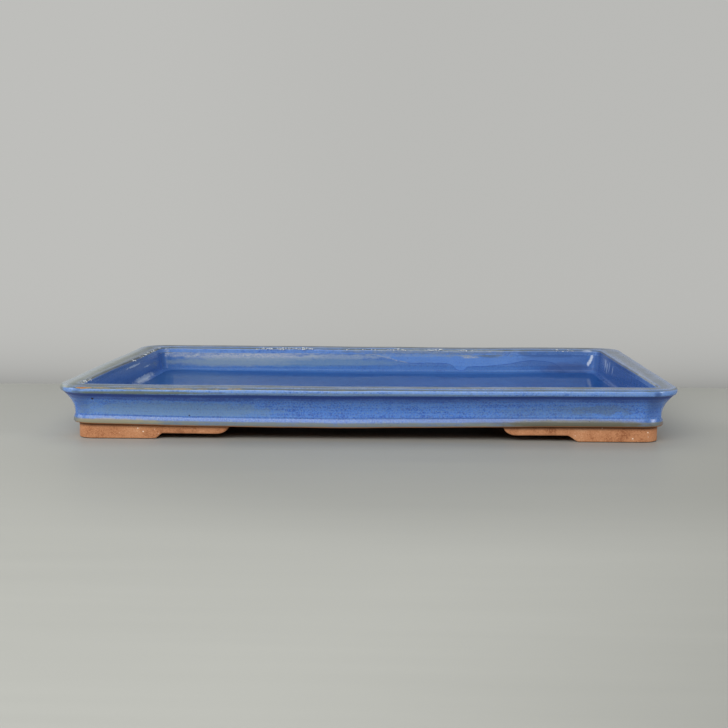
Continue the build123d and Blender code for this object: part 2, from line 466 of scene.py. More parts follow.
def add_tree(piece: Piece, tree: Tree, values: dict[str, Any]) -> None:
    """Put a geometry node tree on a piece.

    Args:
        piece: The piece.
        tree: The tree.
        values: Input values by the name of the input.
    """
    modifier = piece.modifiers.new(tree.name, "NODES")
    modifier.node_group = tree
    for item in tree.interface.items_tree:
        if item.item_type == "SOCKET" and item.in_out == "INPUT" and item.name in values:
            modifier[item.identifier] = values[item.name]


def freeze(piece: Piece) -> None:
    """Turn what the modifiers make of a piece into its plain mesh, faces outwards.

    Args:
        piece: The piece.
    """
    graph = bpy.context.evaluated_depsgraph_get()
    made = bpy.data.meshes.new_from_object(
        piece.evaluated_get(graph), preserve_all_data_layers=True, depsgraph=graph
    )
    piece.modifiers.clear()
    piece.data = made
    made.name = piece.name
    shell = bmesh.new()
    shell.from_mesh(made)
    bmesh.ops.recalc_face_normals(shell, faces=shell.faces)
    for face in shell.faces:
        face.smooth = True
    shell.to_mesh(made)
    shell.free()


# ---- shared plan


@dataclass(frozen=True)
class TrayPlan:
    """Sizes that all sub-assemblies share, in millimetres."""

    half_length: float
    half_depth: float
    foot_top: float
    floor_top: float
    wall_top: float
    lip_top: float
    corner_radius: float = 30.0
    seam_radius: float = 12.0
    lip_inset: float = 0.6
    lip_top_drop: float = 0.7
    under_lip_inset: float = 2.4
    neck_inset: float = 12.6
    opening_inset: float = 22.0
    wall_foot_inset: float = 24.0
    coil_radius: float = 6.0
    coil_steps: int = 14
    coil_squareness: float = 7.0
    wall_levels: int = 8
    corner_steps: int = 12
    station_pitch: float = 2.4

    @classmethod
    def from_frame(cls) -> "TrayPlan":
        """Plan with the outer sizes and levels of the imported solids.

        Returns:
            The plan.
        """
        high = cad_box[1]
        slab_low, slab_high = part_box("floor_slab")
        lip_low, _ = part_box("front_rim")
        return cls(
            half_length=round(high.x / MM, 1),
            half_depth=round(high.y / MM, 1),
            foot_top=round(slab_low.z / MM, 1),
            floor_top=round(slab_high.z / MM, 1),
            wall_top=round(lip_low.z / MM, 1),
            lip_top=round(high.z / MM, 1),
        )

    @property
    def coil_top(self) -> float:
        """Height at which the floor coils end on the walls."""
        return self.floor_top + self.coil_radius

    def wall_inset(self, level: float) -> float:
        """Inset of the flat inner wall face at a height."""
        share = (level - self.floor_top) / (self.wall_top - self.floor_top)
        return self.wall_foot_inset + share * (self.opening_inset - self.wall_foot_inset)

    def bend(self, inset: float) -> float:
        """Bend radius round the corner of a rounded line at an inset."""
        return max(self.corner_radius - inset, self.seam_radius)

    def seam_levels(self) -> list[float]:
        """Heights of the points down the inner wall face, from its top to the floor coil."""
        drop = self.wall_top - self.coil_top
        return [self.wall_top - drop * step / self.wall_levels for step in range(self.wall_levels + 1)]

    def shaping(self) -> dict[str, Any]:
        """Inputs of the hand shaping tree.

        Returns:
            Values by the name of the input.
        """
        return {
            "Half Length": self.half_length * MM,
            "Half Reach": self.half_depth * MM,
            "Foot Height": self.foot_top * MM,
            "Height": self.lip_top * MM,
            "Back Left Lift": 0.0007,
            "Back Middle Lift": -0.0003,
            "Back Left Skew": 0.0035,
            "Front Left Lift": 0.0006,
            "Left Opening Shift": -0.005,
            "Right Opening Shift": 0.0062,
        }


class Region(Enum):
    """Part of the tray that pieces are named after."""

    @property
    def label(self) -> str:
        """Name of the part, as its pieces bear it."""
        return self.name.lower()


class Side(Region):
    """The four sides of the tray, as quarter turns from the front."""

    FRONT = 0
    RIGHT = 1
    BACK = 2
    LEFT = 3

    @property
    def turn(self) -> float:
        """Turn from the front side, in radians."""
        return self.value * math.pi / 2

    def reach(self, plan: TrayPlan) -> tuple[float, float]:
        """Half length of the side, and its distance from the middle of the tray."""
        sizes = plan.half_length, plan.half_depth
        return sizes if self in (Side.FRONT, Side.BACK) else sizes[::-1]


class Corner(Region):
    """The four corners of the tray, as signs along X and Y."""

    FRONT_LEFT = (-1, -1)
    FRONT_RIGHT = (1, -1)
    BACK_LEFT = (-1, 1)
    BACK_RIGHT = (1, 1)


# ---- finishes


class Slot(Enum):
    """Material slots of the part."""

    GLAZE = "blue_glaze"
    CLAY = "bare_clay"


@dataclass(frozen=True)
class Patch:
    """Soft-edged spot of another look on a surface, in millimetres."""

    centre: Point
    size: Point
    strength: float
    colour: Colour | None = None
    ragged: float = 0.5
    froth: float = 0.0


class SurfaceDraft(NodeDraft):
    """Draft of a material, with the coordinates and noises that its finishes share."""

    def __init__(self, name: str) -> None:
        """Start a material with an empty node tree.

        Args:
            name: Name of the material.
        """
        self.material = bpy.data.materials.new(name)
        self.material.use_nodes = True
        super().__init__(self.material.node_tree)
        self.tree.nodes.clear()
        self.place = self.scaled(self.out("ShaderNodeTexCoord", output="Object"), 1 / MM)
        self.x, self.y, self.z = self.split(self.place)

    def stored(self, name: str) -> Value:
        """Number stored on the mesh."""
        return self.out("ShaderNodeAttribute", output="Fac", attribute_name=name)

    def bump(self, height: Any, strength: float, distance: float) -> Value:
        """Normal bumped by a height that is given in steps of some millimetres."""
        inputs = {"Height": height, "Strength": strength, "Distance": distance * MM}
        return self.out("ShaderNodeBump", inputs)

    def specks(self, scale: float, inner: float, outer: float, strength: float) -> Value:
        """Mask of round specks, solid up to an inner and gone at an outer radius."""
        distance = self.out("ShaderNodeTexVoronoi", {"Vector": self.place, "Scale": scale})
        return self.step(distance, inner, outer, strength, 0.0)

    @cached_property
    def ragged(self) -> Value:
        """Noise that breaks up the edges of patches, made once."""
        stretched = self.joined(self.x * 0.35, self.y * 0.35, self.z)
        return self.noise(stretched, 0.35, 4.0, 0.6)

    def patch_mask(self, patch: Patch) -> Value:
        """Mask of a patch, as strong as the patch inside and 0 outside, with a ragged edge.

        Args:
            patch: The patch.

        Returns:
            The mask.
        """
        away = self.vector("SUBTRACT", self.place, patch.centre)
        away = self.length(self.vector("DIVIDE", away, patch.size))
        distance = (self.ragged - 0.5) * (2 * patch.ragged) + away
        mask = self.step(distance, 0.45, 1.0, patch.strength, 0.0)
        if not patch.froth:
            return mask
        froth = self.noise(self.joined(self.x, self.y, self.z * 1.6), 0.8, 5.0, 0.75)
        return mask * self.step(froth, 0.4, 0.6, 1.0 - patch.froth, 1.0)

    def finish(
        self, colour: Value, rough: Any, normal: Value, specular: float = 0.5, coat: float = 0.0,
        coat_rough: float = 0.03,
    ) -> Material:
        """Close the material with a shader.

        Args:
            colour: Base colour.
            rough: Roughness.
            normal: Bumped normal.
            specular: Level of the plain gloss.
            coat: Weight of the clear coat.
            coat_rough: Roughness of the clear coat.

        Returns:
            The material.
        """
        shader = self.out("ShaderNodeBsdfPrincipled", {
            "Base Color": colour, "Roughness": rough, "Normal": normal,
            "Specular IOR Level": specular, "Coat Weight": coat, "Coat Roughness": coat_rough,
        })
        self.node("ShaderNodeOutputMaterial", {"Surface": shader})
        return self.material


@dataclass(frozen=True)
class BlueGlaze:
    """Glossy streaked blue glaze that breaks to olive and brown where it is thin, and darkens in creases with
    pooled glaze and painted shade.
    """

    name: str
    deep: Colour = paint(48, 88, 178)
    body: Colour = paint(82, 132, 212)
    pale: Colour = paint(132, 166, 220)
    olive: Colour = paint(96, 102, 86)
    tan: Colour = paint(178, 156, 112)
    rust: Colour = paint(166, 98, 48)
    clay: Colour = paint(176, 112, 72)
    milk: Colour = paint(176, 186, 198)
    # Pooled glaze, also painted shade in creases.
    pool: Colour = paint(34, 64, 146)
    sage: Colour = paint(120, 146, 164)
    # Near black, painted shade inside the pinholes.
    pit: Colour = paint(22, 26, 40)
    rough: float = 0.2
    dry: float = 0.14
    coat: float = 0.2
    coat_rough: float = 0.08
    specular: float = 0.5
    streak_length: float = 75.0
    streak_height: float = 1.6
    streak_strength: float = 0.35
    haze: float = 0.55
    peel: float = 0.05
    peel_unit: float = 0.1
    patches: tuple[Patch, ...] = ()
    breaks: tuple[Patch, ...] = ()
    pinholes: tuple[Point, ...] = ()
    pinhole_radius: float = 0.55
    pour: "PourLine | None" = None

    def build(self) -> Material:
        """Make the material.

        Returns:
            The material.
        """
        draft = SurfaceDraft(self.name)
        streaks = self.streaks(draft) - 0.5
        mottle = draft.noise(draft.place, 0.11, 5.0, 0.6) - 0.5
        grain = draft.noise(draft.place, 0.75, 2.0, 0.6)
        fine = grain - 0.5
        thin = self.thinness(draft, streaks, fine)
        colour = self.body_colour(draft, streaks, mottle, fine)
        ridge = 0.0
        if self.pour is not None:
            colour, ridge = self.pour.lay(draft, colour)
        # Thinness at which each tint sets in and is full, and how far it covers the one before; below zero,
        # pooled glaze and painted crease shade.
        for low, high, cover, tint in (
            (-0.1, -0.6, 0.9, self.pool),
            (0.2, 0.55, 0.9, self.olive),
            (0.72, 0.95, 0.8, self.tan),
            (1.0, 1.2, 0.85, self.rust),
        ):
            colour = draft.blend(draft.step(thin, low, high, 0.0, cover), colour, tint)
        for patch in self.patches:
            colour = draft.blend(draft.patch_mask(patch), colour, patch.colour or self.milk)
        # Pinholes are painted near black as painted shade inside them.
        pits = self.pits(draft)
        colour = draft.blend(pits, colour, self.pit)
        bare = self.bareness(draft, fine)
        colour = draft.blend(bare, colour, draft.blend(grain, self.rust, self.clay))
        rough = mottle * (0.8 * self.rough) + self.rough + bare * 0.55
        rough = rough + draft.step(thin, 0.2, 0.7) * self.dry
        rough = rough + draft.step(thin, -0.2, -0.6) * 0.35
        peel = draft.noise(draft.place, 0.22, 2.0, 0.5) * (self.peel / self.peel_unit)
        normal = draft.bump(peel + ridge - pits + grain * bare * 1.2, 1.0, self.peel_unit)
        return draft.finish(colour, rough, normal, self.specular, self.coat, self.coat_rough)

    def streaks(self, draft: SurfaceDraft) -> Value:
        """Noise drawn out along the sides of the tray.

        Args:
            draft: The draft of the material.

        Returns:
            The noise.
        """
        across = draft.stored("profile") / MM / self.streak_height
        drawn_out = draft.joined(draft.x / self.streak_length, draft.y / self.streak_length, across)
        return draft.noise(drawn_out, 1.0, 3.0, 0.55)

    def body_colour(self, draft: SurfaceDraft, streaks: Value, mottle: Value, grain: Value) -> Value:
        """Colour of the glaze where it lies thick.

        Args:
            draft: The draft of the material.
            streaks: Streak noise, about zero.
            mottle: Broad noise, about zero.
            grain: Fine noise, about zero.

        Returns:
            The colour.
        """
        tone = streaks * (self.streak_strength * 2) + 0.5 + mottle * 0.6 + grain * 1.3
        colour = draft.blend(draft.step(tone, 0.1, 0.6), self.deep, self.body)
        colour = draft.blend(draft.step(tone, 0.6, 1.15, 0.0, 0.7), colour, self.pale)
        elsewhere = draft.vector("ADD", draft.place, (310.0, 90.0, 70.0))
        haze = draft.step(draft.noise(elsewhere, 0.8, 3.0, 0.7), 0.45, 0.72, 0.0, self.haze)
        return draft.blend(haze, colour, self.sage)

    def thinness(self, draft: SurfaceDraft, streaks: Value, grain: Value) -> Value:
        """How thin the glaze is: high on sharp edges and on the named breaks.

        Args:
            draft: The draft of the material.
            streaks: Streak noise, about zero.
            grain: Fine noise, about zero.

        Returns:
            The thinness, 0 for thick glaze, below 0 for pooled glaze and painted crease shade.
        """
        thin = draft.stored("thin")
        for patch in self.breaks:
            thin = thin * (draft.patch_mask(patch) + 1.0)
        wander = draft.noise(draft.place, 0.06, 3.0, 0.6) - 0.5
        return thin * (wander * 0.9 + 1.0) + streaks * 0.35 + grain * 0.3

    def bareness(self, draft: SurfaceDraft, grain: Value) -> Value:
        """Mask of the bare clay, with a wandering glaze line."""
        wander = draft.noise(draft.place, 0.09, 3.0, 0.6) - 0.5
        return draft.step(wander * 0.6 + draft.stored("bare") + grain * 0.2, 0.45, 0.6)

    def pits(self, draft: SurfaceDraft) -> Value:
        """Mask of the pinholes in the glaze.

        Args:
            draft: The draft of the material.

        Returns:
            The mask.
        """
        found = draft.specks(0.16, 0.035, 0.06, 0.8)
        for place in self.pinholes:
            away = draft.length(draft.vector("SUBTRACT", draft.place, place))
            hole = draft.step(away, self.pinhole_radius * 0.5, self.pinhole_radius, 1.0, 0.0)
            found = draft.math("MAXIMUM", found, hole)
        return found


@dataclass(frozen=True)
class PourLine:
    """Edge of a second pour of glaze down the inner back wall, in millimetres."""

    points: tuple[Spot, ...]
    near: float = 148.0
    far: float = 161.0
    left: float = -235.0
    right: float = 235.0
    low: float = 15.0
    high: float = 50.0
    upper: Colour = paint(92, 136, 196)
    lower: Colour = paint(70, 108, 160)
    cream: Colour = paint(200, 204, 200)
    edge: Colour = paint(62, 98, 176)
    cream_ends: Spot = (26.0, 36.0)
    share: float = 0.6

    def level(self, draft: SurfaceDraft) -> Value:
        """Height of the edge at each place along the wall.

        Args:
            draft: The draft of the material.

        Returns:
            The height.
        """
        width, height = self.right - self.left, self.high - self.low
        curve = draft.node("ShaderNodeFloatCurve", {"Value": (draft.x - self.left) / width})
        points = curve.mapping.curves[0].points
        for x, z in self.points:
            points.new((x - self.left) / width, (z - self.low) / height)
        points[0].location = (0.0, points[1].location[1])
        points[len(points) - 1].location = (1.0, points[len(points) - 2].location[1])
        curve.mapping.update()
        wander = draft.noise(draft.place, 0.12, 3.0, 0.6) - 0.5
        return Value(draft, curve.outputs[0]) * height + self.low + wander * 1.6

    def lay(self, draft: SurfaceDraft, colour: Value) -> tuple[Value, Value]:
        """Lay the pour over a colour.

        Args:
            draft: The draft of the material.
            colour: Colour so far.

        Returns:
            The colour with the pour, and the height of its ridge.
        """
        above = draft.z - self.level(draft)
        on_wall = draft.step(draft.y, self.near, self.near + 1.5)
        on_wall = on_wall * draft.math("LESS_THAN", draft.y, self.far)
        upper = draft.step(above, -0.15, 0.25) * on_wall
        lower = draft.step(above, -0.25, 0.15, 1.0, 0.0) * on_wall
        colour = draft.blend(upper * self.share, colour, self.upper)
        colour = draft.blend(lower * self.share, colour, self.lower)
        broken = draft.step(draft.noise(draft.place, 0.5, 3.0, 0.6), 0.4, 0.56, 0.15, 1.0)
        near_edge = draft.step(abs(above), 0.15, 0.7, 0.6, 0.0) * on_wall * broken
        rim = draft.blend(draft.step(draft.x, *self.cream_ends), self.cream, self.edge)
        return draft.blend(near_edge, colour, rim), upper * 2.0


@dataclass(frozen=True)
class DryCrust:
    """Dry, milky crust of crawled glaze."""

    name: str
    body: Colour = paint(232, 236, 236)
    stain: Colour = paint(176, 186, 188)
    rough: float = 0.6

    def build(self) -> Material:
        """Make the material.

        Returns:
            The material.
        """
        draft = SurfaceDraft(self.name)
        cloud = draft.noise(draft.place, 0.5, 3.0, 0.6)
        colour = draft.blend(draft.step(cloud, 0.4, 0.7), self.body, self.stain)
        tooth = draft.noise(draft.place, 4.0, 2.0, 0.5)
        return draft.finish(colour, self.rough, draft.bump(tooth, 0.6, 0.1))


@dataclass(frozen=True)
class BareClay:
    """Unglazed terracotta stoneware with pale grog, darker where the glaze stained it, with painted shade
    under the band and in pits and a painted contact shadow.
    """

    name: str
    body: Colour = paint(190, 132, 92)
    light: Colour = paint(216, 164, 124)
    dark: Colour = paint(146, 90, 56)
    # Glaze stain colour, also used for painted shade under the band and in the pits.
    stain: Colour = paint(92, 62, 44)
    soot: Colour = paint(44, 30, 22)
    grog: Colour = paint(238, 226, 208)
    rough: float = 0.82
    stain_level: float = 12.6
    stain_fade: float = 3.6
    contact_level: float = 0.9

    def build(self) -> Material:
        """Make the material.

        Returns:
            The material.
        """
        draft = SurfaceDraft(self.name)
        cloud = draft.noise(draft.place, 0.045, 4.0, 0.6) - 0.5
        grain = draft.noise(draft.place, 0.9, 4.0, 0.7)
        tooth = draft.noise(draft.place, 2.6, 3.0, 0.6)
        tone = cloud * 1.2 + grain
        colour = draft.blend(draft.step(tone, 0.2, 0.52), self.dark, self.body)
        colour = draft.blend(draft.step(tone, 0.5, 0.85, 0.0, 0.8), colour, self.light)
        # Below the band the clay darkens: glaze stain, and painted shade of the band's overhang.
        height = draft.z + cloud * 1.6
        stain_and_band_shade = draft.step(height, self.stain_level - self.stain_fade, self.stain_level, 0.0, 0.85)
        colour = draft.blend(stain_and_band_shade, colour, self.stain)
        # Painted contact shadow along the bottom edge of the feet, kept off their undersides.
        contact = draft.step(draft.z, 0.3, self.contact_level, 0.95, 0.0)
        contact = contact * draft.step(draft.z, 0.02, 0.08)
        colour = draft.blend(contact, colour, self.soot)
        colour = draft.blend(draft.specks(0.15, 0.06, 0.1, 0.9), colour, self.grog)
        pits = draft.specks(0.6, 0.06, 0.14, 1.0)
        # The pits get painted shade in the stain colour.
        colour = draft.blend(pits * 0.5, colour, self.stain)
        normal = draft.bump(tooth * 0.5 + grain - pits * 0.9, 0.8, 0.25)
        return draft.finish(colour, self.rough, normal, specular=0.3)


# ---- sections and meshes


@dataclass(frozen=True)
class SectionPoint:
    """Point of a moulding's section, in millimetres."""

    inset: float
    level: float
    bend: float
    square: float = 0.0


@dataclass(frozen=True)
class EdgeBreak:
    """Edge of a section on which the glaze runs thin; a negative amount gives pooled glaze and painted crease
    shade instead.
    """

    inset: float
    level: float
    reach: float
    amount: float


@dataclass
class Section:
    """Closed section of a moulding, drawn point by point."""

    plan: TrayPlan
    breaks: tuple[EdgeBreak, ...] = ()
    start: float = 0.0
    glaze_line: float = 0.0
    glaze_fade: float = 0.6
    points: list[SectionPoint] = field(default_factory=list)

    def add(self, inset: float, level: float, square: bool = False) -> None:
        """Add a point by its inset from the edge of the tray and its height."""
        bend = self.plan.seam_radius if square else self.plan.bend(inset)
        self.points.append(SectionPoint(inset, level, bend, float(square)))

    def line(self, inset: float, level: float, steps: int, square: bool = False) -> None:
        """Go straight to a point in a number of steps.

        Args:
            inset: Inset of the end.
            level: Height of the end.
            steps: Number of steps.
            square: Whether the line turns a square corner.
        """
        last = self.points[-1]
        for step in range(1, steps + 1):
            share = step / steps
            across = last.inset + share * (inset - last.inset)
            self.add(across, last.level + share * (level - last.level), square)

    def curve(self, guide: Spot, end: Spot, steps: int, weight: float = QUARTER_ROUND) -> None:
        """Go along a curve that leaves towards a guide point and arrives from it.

        Args:
            guide: Inset and height of the guide point.
            end: Inset and height of the end.
            steps: Number of steps.
            weight: Pull of the guide: PARABOLA, or QUARTER_ROUND for a quarter ellipse.
        """
        start = self.points[-1]
        for step in range(1, steps + 1):
            share = step / steps
            first = (1 - share) ** 2
            middle = 2 * share * (1 - share) * weight
            last = share**2
            total = first + middle + last
            self.add(
                (first * start.inset + middle * guide[0] + last * end[0]) / total,
                (first * start.level + middle * guide[1] + last * end[1]) / total,
            )

    def thinness(self, inset: float, level: float) -> float:
        """How thin the glaze is at a point of the section.

        Args:
            inset: Inset of the point.
            level: Height of the point.

        Returns:
            0 for thick glaze, towards 1 for thin, and below 0 where it pools and painted crease shade darkens
            it.
        """
        found = 0.0
        for edge in self.breaks:
            away = math.hypot(inset - edge.inset, level - edge.level) / edge.reach
            amount = edge.amount * math.exp(-away * away)
            found = amount if abs(amount) > abs(found) else found
        return found

    def bare(self, level: float) -> float:
        """Share of bare clay at a height: none above the glaze line, and all below it."""
        return min(max((self.glaze_line - level) / self.glaze_fade + 0.5, 0.0), 1.0)

    def outline(self, name: str) -> Piece:
        """Flat outline of the section, with what its points carry.

        Args:
            name: Name of the piece that it becomes.

        Returns:
            The object.
        """
        places = np.array([(point.inset, point.level, 0.0) for point in self.points])
        steps = np.linalg.norm(np.diff(places, axis=0), axis=1)
        profile = self.start + np.concatenate([[0.0], np.cumsum(steps)])
        mesh = bpy.data.meshes.new(name)
        count = len(self.points)
        mesh.from_pydata((places * MM).tolist(), [(i, (i + 1) % count) for i in range(count)], [])
        carry(mesh, "bend", [point.bend * MM for point in self.points])
        carry(mesh, "square", [point.square for point in self.points])
        carry(mesh, "thin", [self.thinness(point.inset, point.level) for point in self.points])
        carry(mesh, "bare", [self.bare(point.level) for point in self.points])
        carry(mesh, "profile", profile * MM)
        return new_object(name, mesh)


def carry(mesh: Mesh, name: str, values: Any) -> None:
    """Store one number for each vertex of a mesh, under a name."""
    layer = mesh.attributes.new(name, "FLOAT", "POINT")
    layer.data.foreach_set("value", np.asarray(values, dtype=np.float32))


def new_object(name: str, data: Any) -> Piece:
    """Put a mesh, a light or a camera in the scene as an object.

    Args:
        name: Name of the object.
        data: What it shows.

    Returns:
        The object.
    """
    piece = bpy.data.objects.new(name, data)
    bpy.context.scene.collection.objects.link(piece)
    return piece


def divided(low: float, high: float, pitch: float) -> list[float]:
    """Equal steps of about a pitch from one number to another, without the first number."""
    steps = max(1, round((high - low) / pitch))
    return [low + (high - low) * (step + 1) / steps for step in range(steps)]


def lofted(name: str, rows: np.ndarray) -> Mesh:
    """Closed skin over a row of closed loops.

    Args:
        name: Name of the mesh.
        rows: Points of the loops in millimetres, shaped (loops, points, 3).

    Returns:
        The mesh, with flat caps on the first and the last loop.
    """
    loops, count, _ = rows.shape
    faces = []
    for first in range(0, (loops - 1) * count, count):
        for here in range(first, first + count):
            after = first + (here - first + 1) % count
            faces.append((here, after, after + count, here + count))
    faces.append(tuple(range(count - 1, -1, -1)))
    faces.append(tuple(range((loops - 1) * count, loops * count)))
    mesh = bpy.data.meshes.new(name)
    mesh.from_pydata((rows.reshape(-1, 3) * MM).tolist(), [], faces)
    return mesh


@dataclass
class Workshop:
    """Makes pieces out of sections and meshes, and keeps the glazed ones that are done."""

    plan: TrayPlan
    strip: Tree = field(default_factory=moulded_strip_tree)
    shaping: Tree = field(default_factory=hand_shaping_tree)
    glazed: list[Piece] = field(default_factory=list)

    def run_strips(self, section: Section, name: str, node: str, material: Material) -> None:
        """Run a section along each of the four sides, as a piece of its own.

        Args:
            section: The section.
            name: What the pieces are called, after their side.
            node: What their solids are called, after their side.
            material: Finish of the strips.
        """
        plan = self.plan
        for side in Side:
            piece = section.outline(f"{side.label}_{name}")
            half_length, reach = side.reach(plan)
            add_tree(piece, self.strip, {
                "Half Length": half_length * MM,
                "Half Reach": reach * MM,
                "Turn": side.turn,
                "Half Straight Steps": round((half_length - plan.corner_radius) / plan.station_pitch),
                "Corner Steps": plan.corner_steps,
                "Material": material,
            })
            self.complete(piece, f"{side.label}_{node}", material)

    def shape(self, piece: Piece, material: Material) -> None:
        """Give a piece its sag, its waver and its finish, and make it a plain mesh."""
        add_tree(piece, self.shaping, {**self.plan.shaping(), "Material": material})
        freeze(piece)

    def complete(self, piece: Piece, node: str, material: Material, slot: Slot = Slot.GLAZE) -> None:
        """Shape a piece and let it stand for a solid of the tray.

        Args:
            piece: The piece.
            node: Name of the solid.
            material: Finish of the piece.
            slot: Material slot of the part; only glazed pieces are kept for the joined shading.
        """
        self.shape(piece, material)
        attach(piece, BODY)
        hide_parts(node)
        if slot is Slot.GLAZE:
            self.glazed.append(piece)
        log.info("%s stands for %s, %d faces", piece.name, node, len(piece.data.polygons))


# ---- sub-assemblies


@dataclass
class Lip:
    """Four flat strips with a rolled outer edge, laid on the walls."""

    workshop: Workshop
    bead_depth: float = 2.4
    outer_round: float = 2.7
    inner_round: float = 2.6
    crown: float = 0.15
    fall: float = 0.2

    def section(self) -> Section:
        """Section of the lip, from the crease under the bead over the top to the opening.

        Returns:
            The section.
        """
        plan = self.workshop.plan
        top = plan.lip_top - plan.lip_top_drop
        bottom = plan.wall_top
        outside = plan.lip_inset
        opening = plan.opening_inset
        middle = (outside + opening) / 2
        edge = top - self.fall
        section = Section(plan, (
            EdgeBreak(outside + 0.9, top - 0.7, 1.15, 0.54),
            EdgeBreak(opening - 0.4, top - 1.0, 1.3, 0.62),
            EdgeBreak(middle, top, 12.0, 0.46),
            # Negative: pooled glaze and painted shade in the crease under the bead.
            EdgeBreak(plan.under_lip_inset, bottom, 1.2, -0.6),
        ))
        section.add(plan.under_lip_inset, bottom)
        section.curve((outside, bottom), (outside, bottom + self.bead_depth), 7)
        section.line(outside, top - self.outer_round, 2)
        section.curve((outside, top), (outside + self.outer_round, top), 8)
        section.curve((middle, top + self.crown), (opening - self.inner_round, edge), 16, PARABOLA)
        section.curve((opening, edge), (opening, edge - self.inner_round), 7)
        section.line(opening, bottom, 4)
        section.line(plan.under_lip_inset, bottom, 4)
        section.points.pop()
        return section

    def build(self, finish: BlueGlaze) -> None:
        """Make the four strips of the lip."""
        self.workshop.run_strips(self.section(), "lip", "rim", finish.build())


@dataclass
class Walls:
    """Four walls, coved outside and flat inside."""

    workshop: Workshop
    cove_steps: int = 26
    hidden_run: Spot = (4.0, 6.0)

    def section(self) -> Section:
        """Section of a wall: down its inner face, under it, and up the cove.

        Returns:
            The section.
        """
        plan = self.workshop.plan
        crease = plan.under_lip_inset
        section = Section(plan, (
            # Negative: pooled glaze and painted shade in the crease under the lip.
            EdgeBreak(crease + 1.2, plan.wall_top - 1.0, 2.6, -0.8),
            EdgeBreak(crease + 3.2, plan.wall_top - 3.4, 3.6, -0.42),
            EdgeBreak(plan.opening_inset, plan.wall_top, 0.9, 0.1),
        ))
        for level in plan.seam_levels():
            section.add(plan.wall_inset(level), level, square=True)
        section.line(plan.wall_foot_inset, plan.floor_top, 3, square=True)
        section.add(plan.neck_inset + self.hidden_run[0], plan.floor_top)
        section.add(plan.neck_inset, plan.floor_top)
        guide = plan.neck_inset, (plan.floor_top + plan.wall_top) / 2
        section.curve(guide, (crease, plan.wall_top), self.cove_steps, PARABOLA)
        section.add(crease + self.hidden_run[1], plan.wall_top)
        return section

    def build(self, finish: BlueGlaze) -> None:
        """Make the four walls."""
        self.workshop.run_strips(self.section(), "cove_wall", "wall", finish.build())


@dataclass
class BaseBand:
    """Four strips luted round the edge of the floor slab, flaring at the bottom."""

    workshop: Workshop
    tip_inset: float = 11.3
    tip_level: float = 14.6
    lap_inset: float = 14.8
    toe_inset: float = 12.8
    glaze_line: float = 13.7
    start: float = 60.0

    def section(self) -> Section:
        """Section of the band, from the neck down over its nose and back inside.

        Returns:
            The section.
        """
        plan = self.workshop.plan
        tip, nose = self.tip_inset, self.tip_level
        breaks = EdgeBreak(tip, nose - 0.7, 0.9, 0.85), EdgeBreak(tip + 0.3, nose + 1.2, 1.9, 0.56)
        section = Section(plan, breaks, self.start, self.glaze_line)
        section.add(plan.neck_inset, plan.floor_top)
        section.line(plan.neck_inset, plan.floor_top - 1.2, 2)
        section.curve((plan.neck_inset - 0.05, nose + 5.0), (tip + 0.7, nose + 3.6), 6, PARABOLA)
        section.curve((tip, nose + 2.0), (tip, nose), 6, PARABOLA)
        section.curve((tip, plan.foot_top), (self.toe_inset, plan.foot_top), 7)
        section.line(self.lap_inset, plan.foot_top, 3)
        section.line(self.lap_inset, plan.floor_top, 3)
        return section

    def build(self, finish: BlueGlaze) -> None:
        """Make the four strips of the band."""
        self.workshop.run_strips(self.section(), "foot_band", "base_band", finish.build())


@dataclass
class SeamCoils:
    """Coils smoothed into the inside seams: four along the floor and four up the corners."""

    workshop: Workshop
    top_thinness: float = 0.45
    top_reach: float = 0.9

    def floor_section(self) -> Section:
        """Hollow quarter round between the wall and the floor, with its hidden back.

        Returns:
            The section.
        """
        plan = self.workshop.plan
        # Negative: pooled glaze and painted shade along the junction of wall and floor.
        pool = EdgeBreak(plan.wall_foot_inset + 0.4, plan.floor_top + 0.4, 1.8, -0.2)
        section = Section(plan, (pool,), plan.wall_top - plan.coil_top)
        power = 2 / plan.coil_squareness
        for step in range(plan.coil_steps + 1):
            angle = math.pi / 2 * (1 - step / plan.coil_steps)
            level = plan.floor_top + plan.coil_radius * (1 - max(math.cos(angle), 0.0) ** power)
            inset = plan.wall_inset(level) + plan.coil_radius * (1 - math.sin(angle) ** power)
            section.points.append(SectionPoint(inset, level, plan.seam_radius))
        section.line(plan.wall_foot_inset, plan.floor_top, 3, square=True)
        section.line(plan.wall_inset(plan.coil_top), plan.coil_top, 3, square=True)
        section.points.pop()
        return section

    def corner_mesh(self, corner: Corner, name: str) -> Mesh:
        """Upright filling of one inside corner, between its hollow face and the walls.

        Args:
            corner: The corner.
            name: Name of the mesh.

        Returns:
            The mesh.
        """
        plan = self.workshop.plan
        along, across = corner.value
        steps = 2 * plan.corner_steps
        rows = []
        for level in plan.seam_levels():
            reach_x = plan.half_length - plan.wall_inset(level)
            reach_y = plan.half_depth - plan.wall_inset(level)
            loop = []
            for step in range(steps + 1):
                angle = math.pi / 2 * step / steps
                x = reach_x - plan.seam_radius * (1 - math.sin(angle))
                y = reach_y - plan.seam_radius * (1 - math.cos(angle))
                loop.append((along * x, across * y, level))
            rows.append([*loop, (along * reach_x, across * reach_y, level)])
        rows = np.array(rows)
        mesh = lofted(name, rows)
        depth = plan.wall_top - rows[:, :, 2].ravel()
        carry(mesh, "profile", depth * MM)
        carry(mesh, "thin", self.top_thinness * np.exp(-((depth / self.top_reach) ** 2)))
        carry(mesh, "bare", np.zeros(len(depth)))
        return mesh

    def build(self, material: Material) -> None:
        """Make the eight coils.

        Args:
            material: Their finish.
        """
        self.workshop.run_strips(self.floor_section(), "floor_seam", "floor_coil", material)
        for corner in Corner:
            name = f"{corner.label}_corner_seam"
            piece = new_object(name, self.corner_mesh(corner, name))
            self.workshop.complete(piece, f"{corner.label}_corner_coil", material)


@dataclass(frozen=True)
class Hole:
    """Round hole through the floor, in millimetres."""

    x: float
    y: float
    radius: float
    block: float

    def mirrored(self, side: int, end: int) -> "Hole":
        """The same hole in one of the quarters of the floor, by the signs of X and Y."""
        return replace(self, x=side * self.x, y=end * self.y)


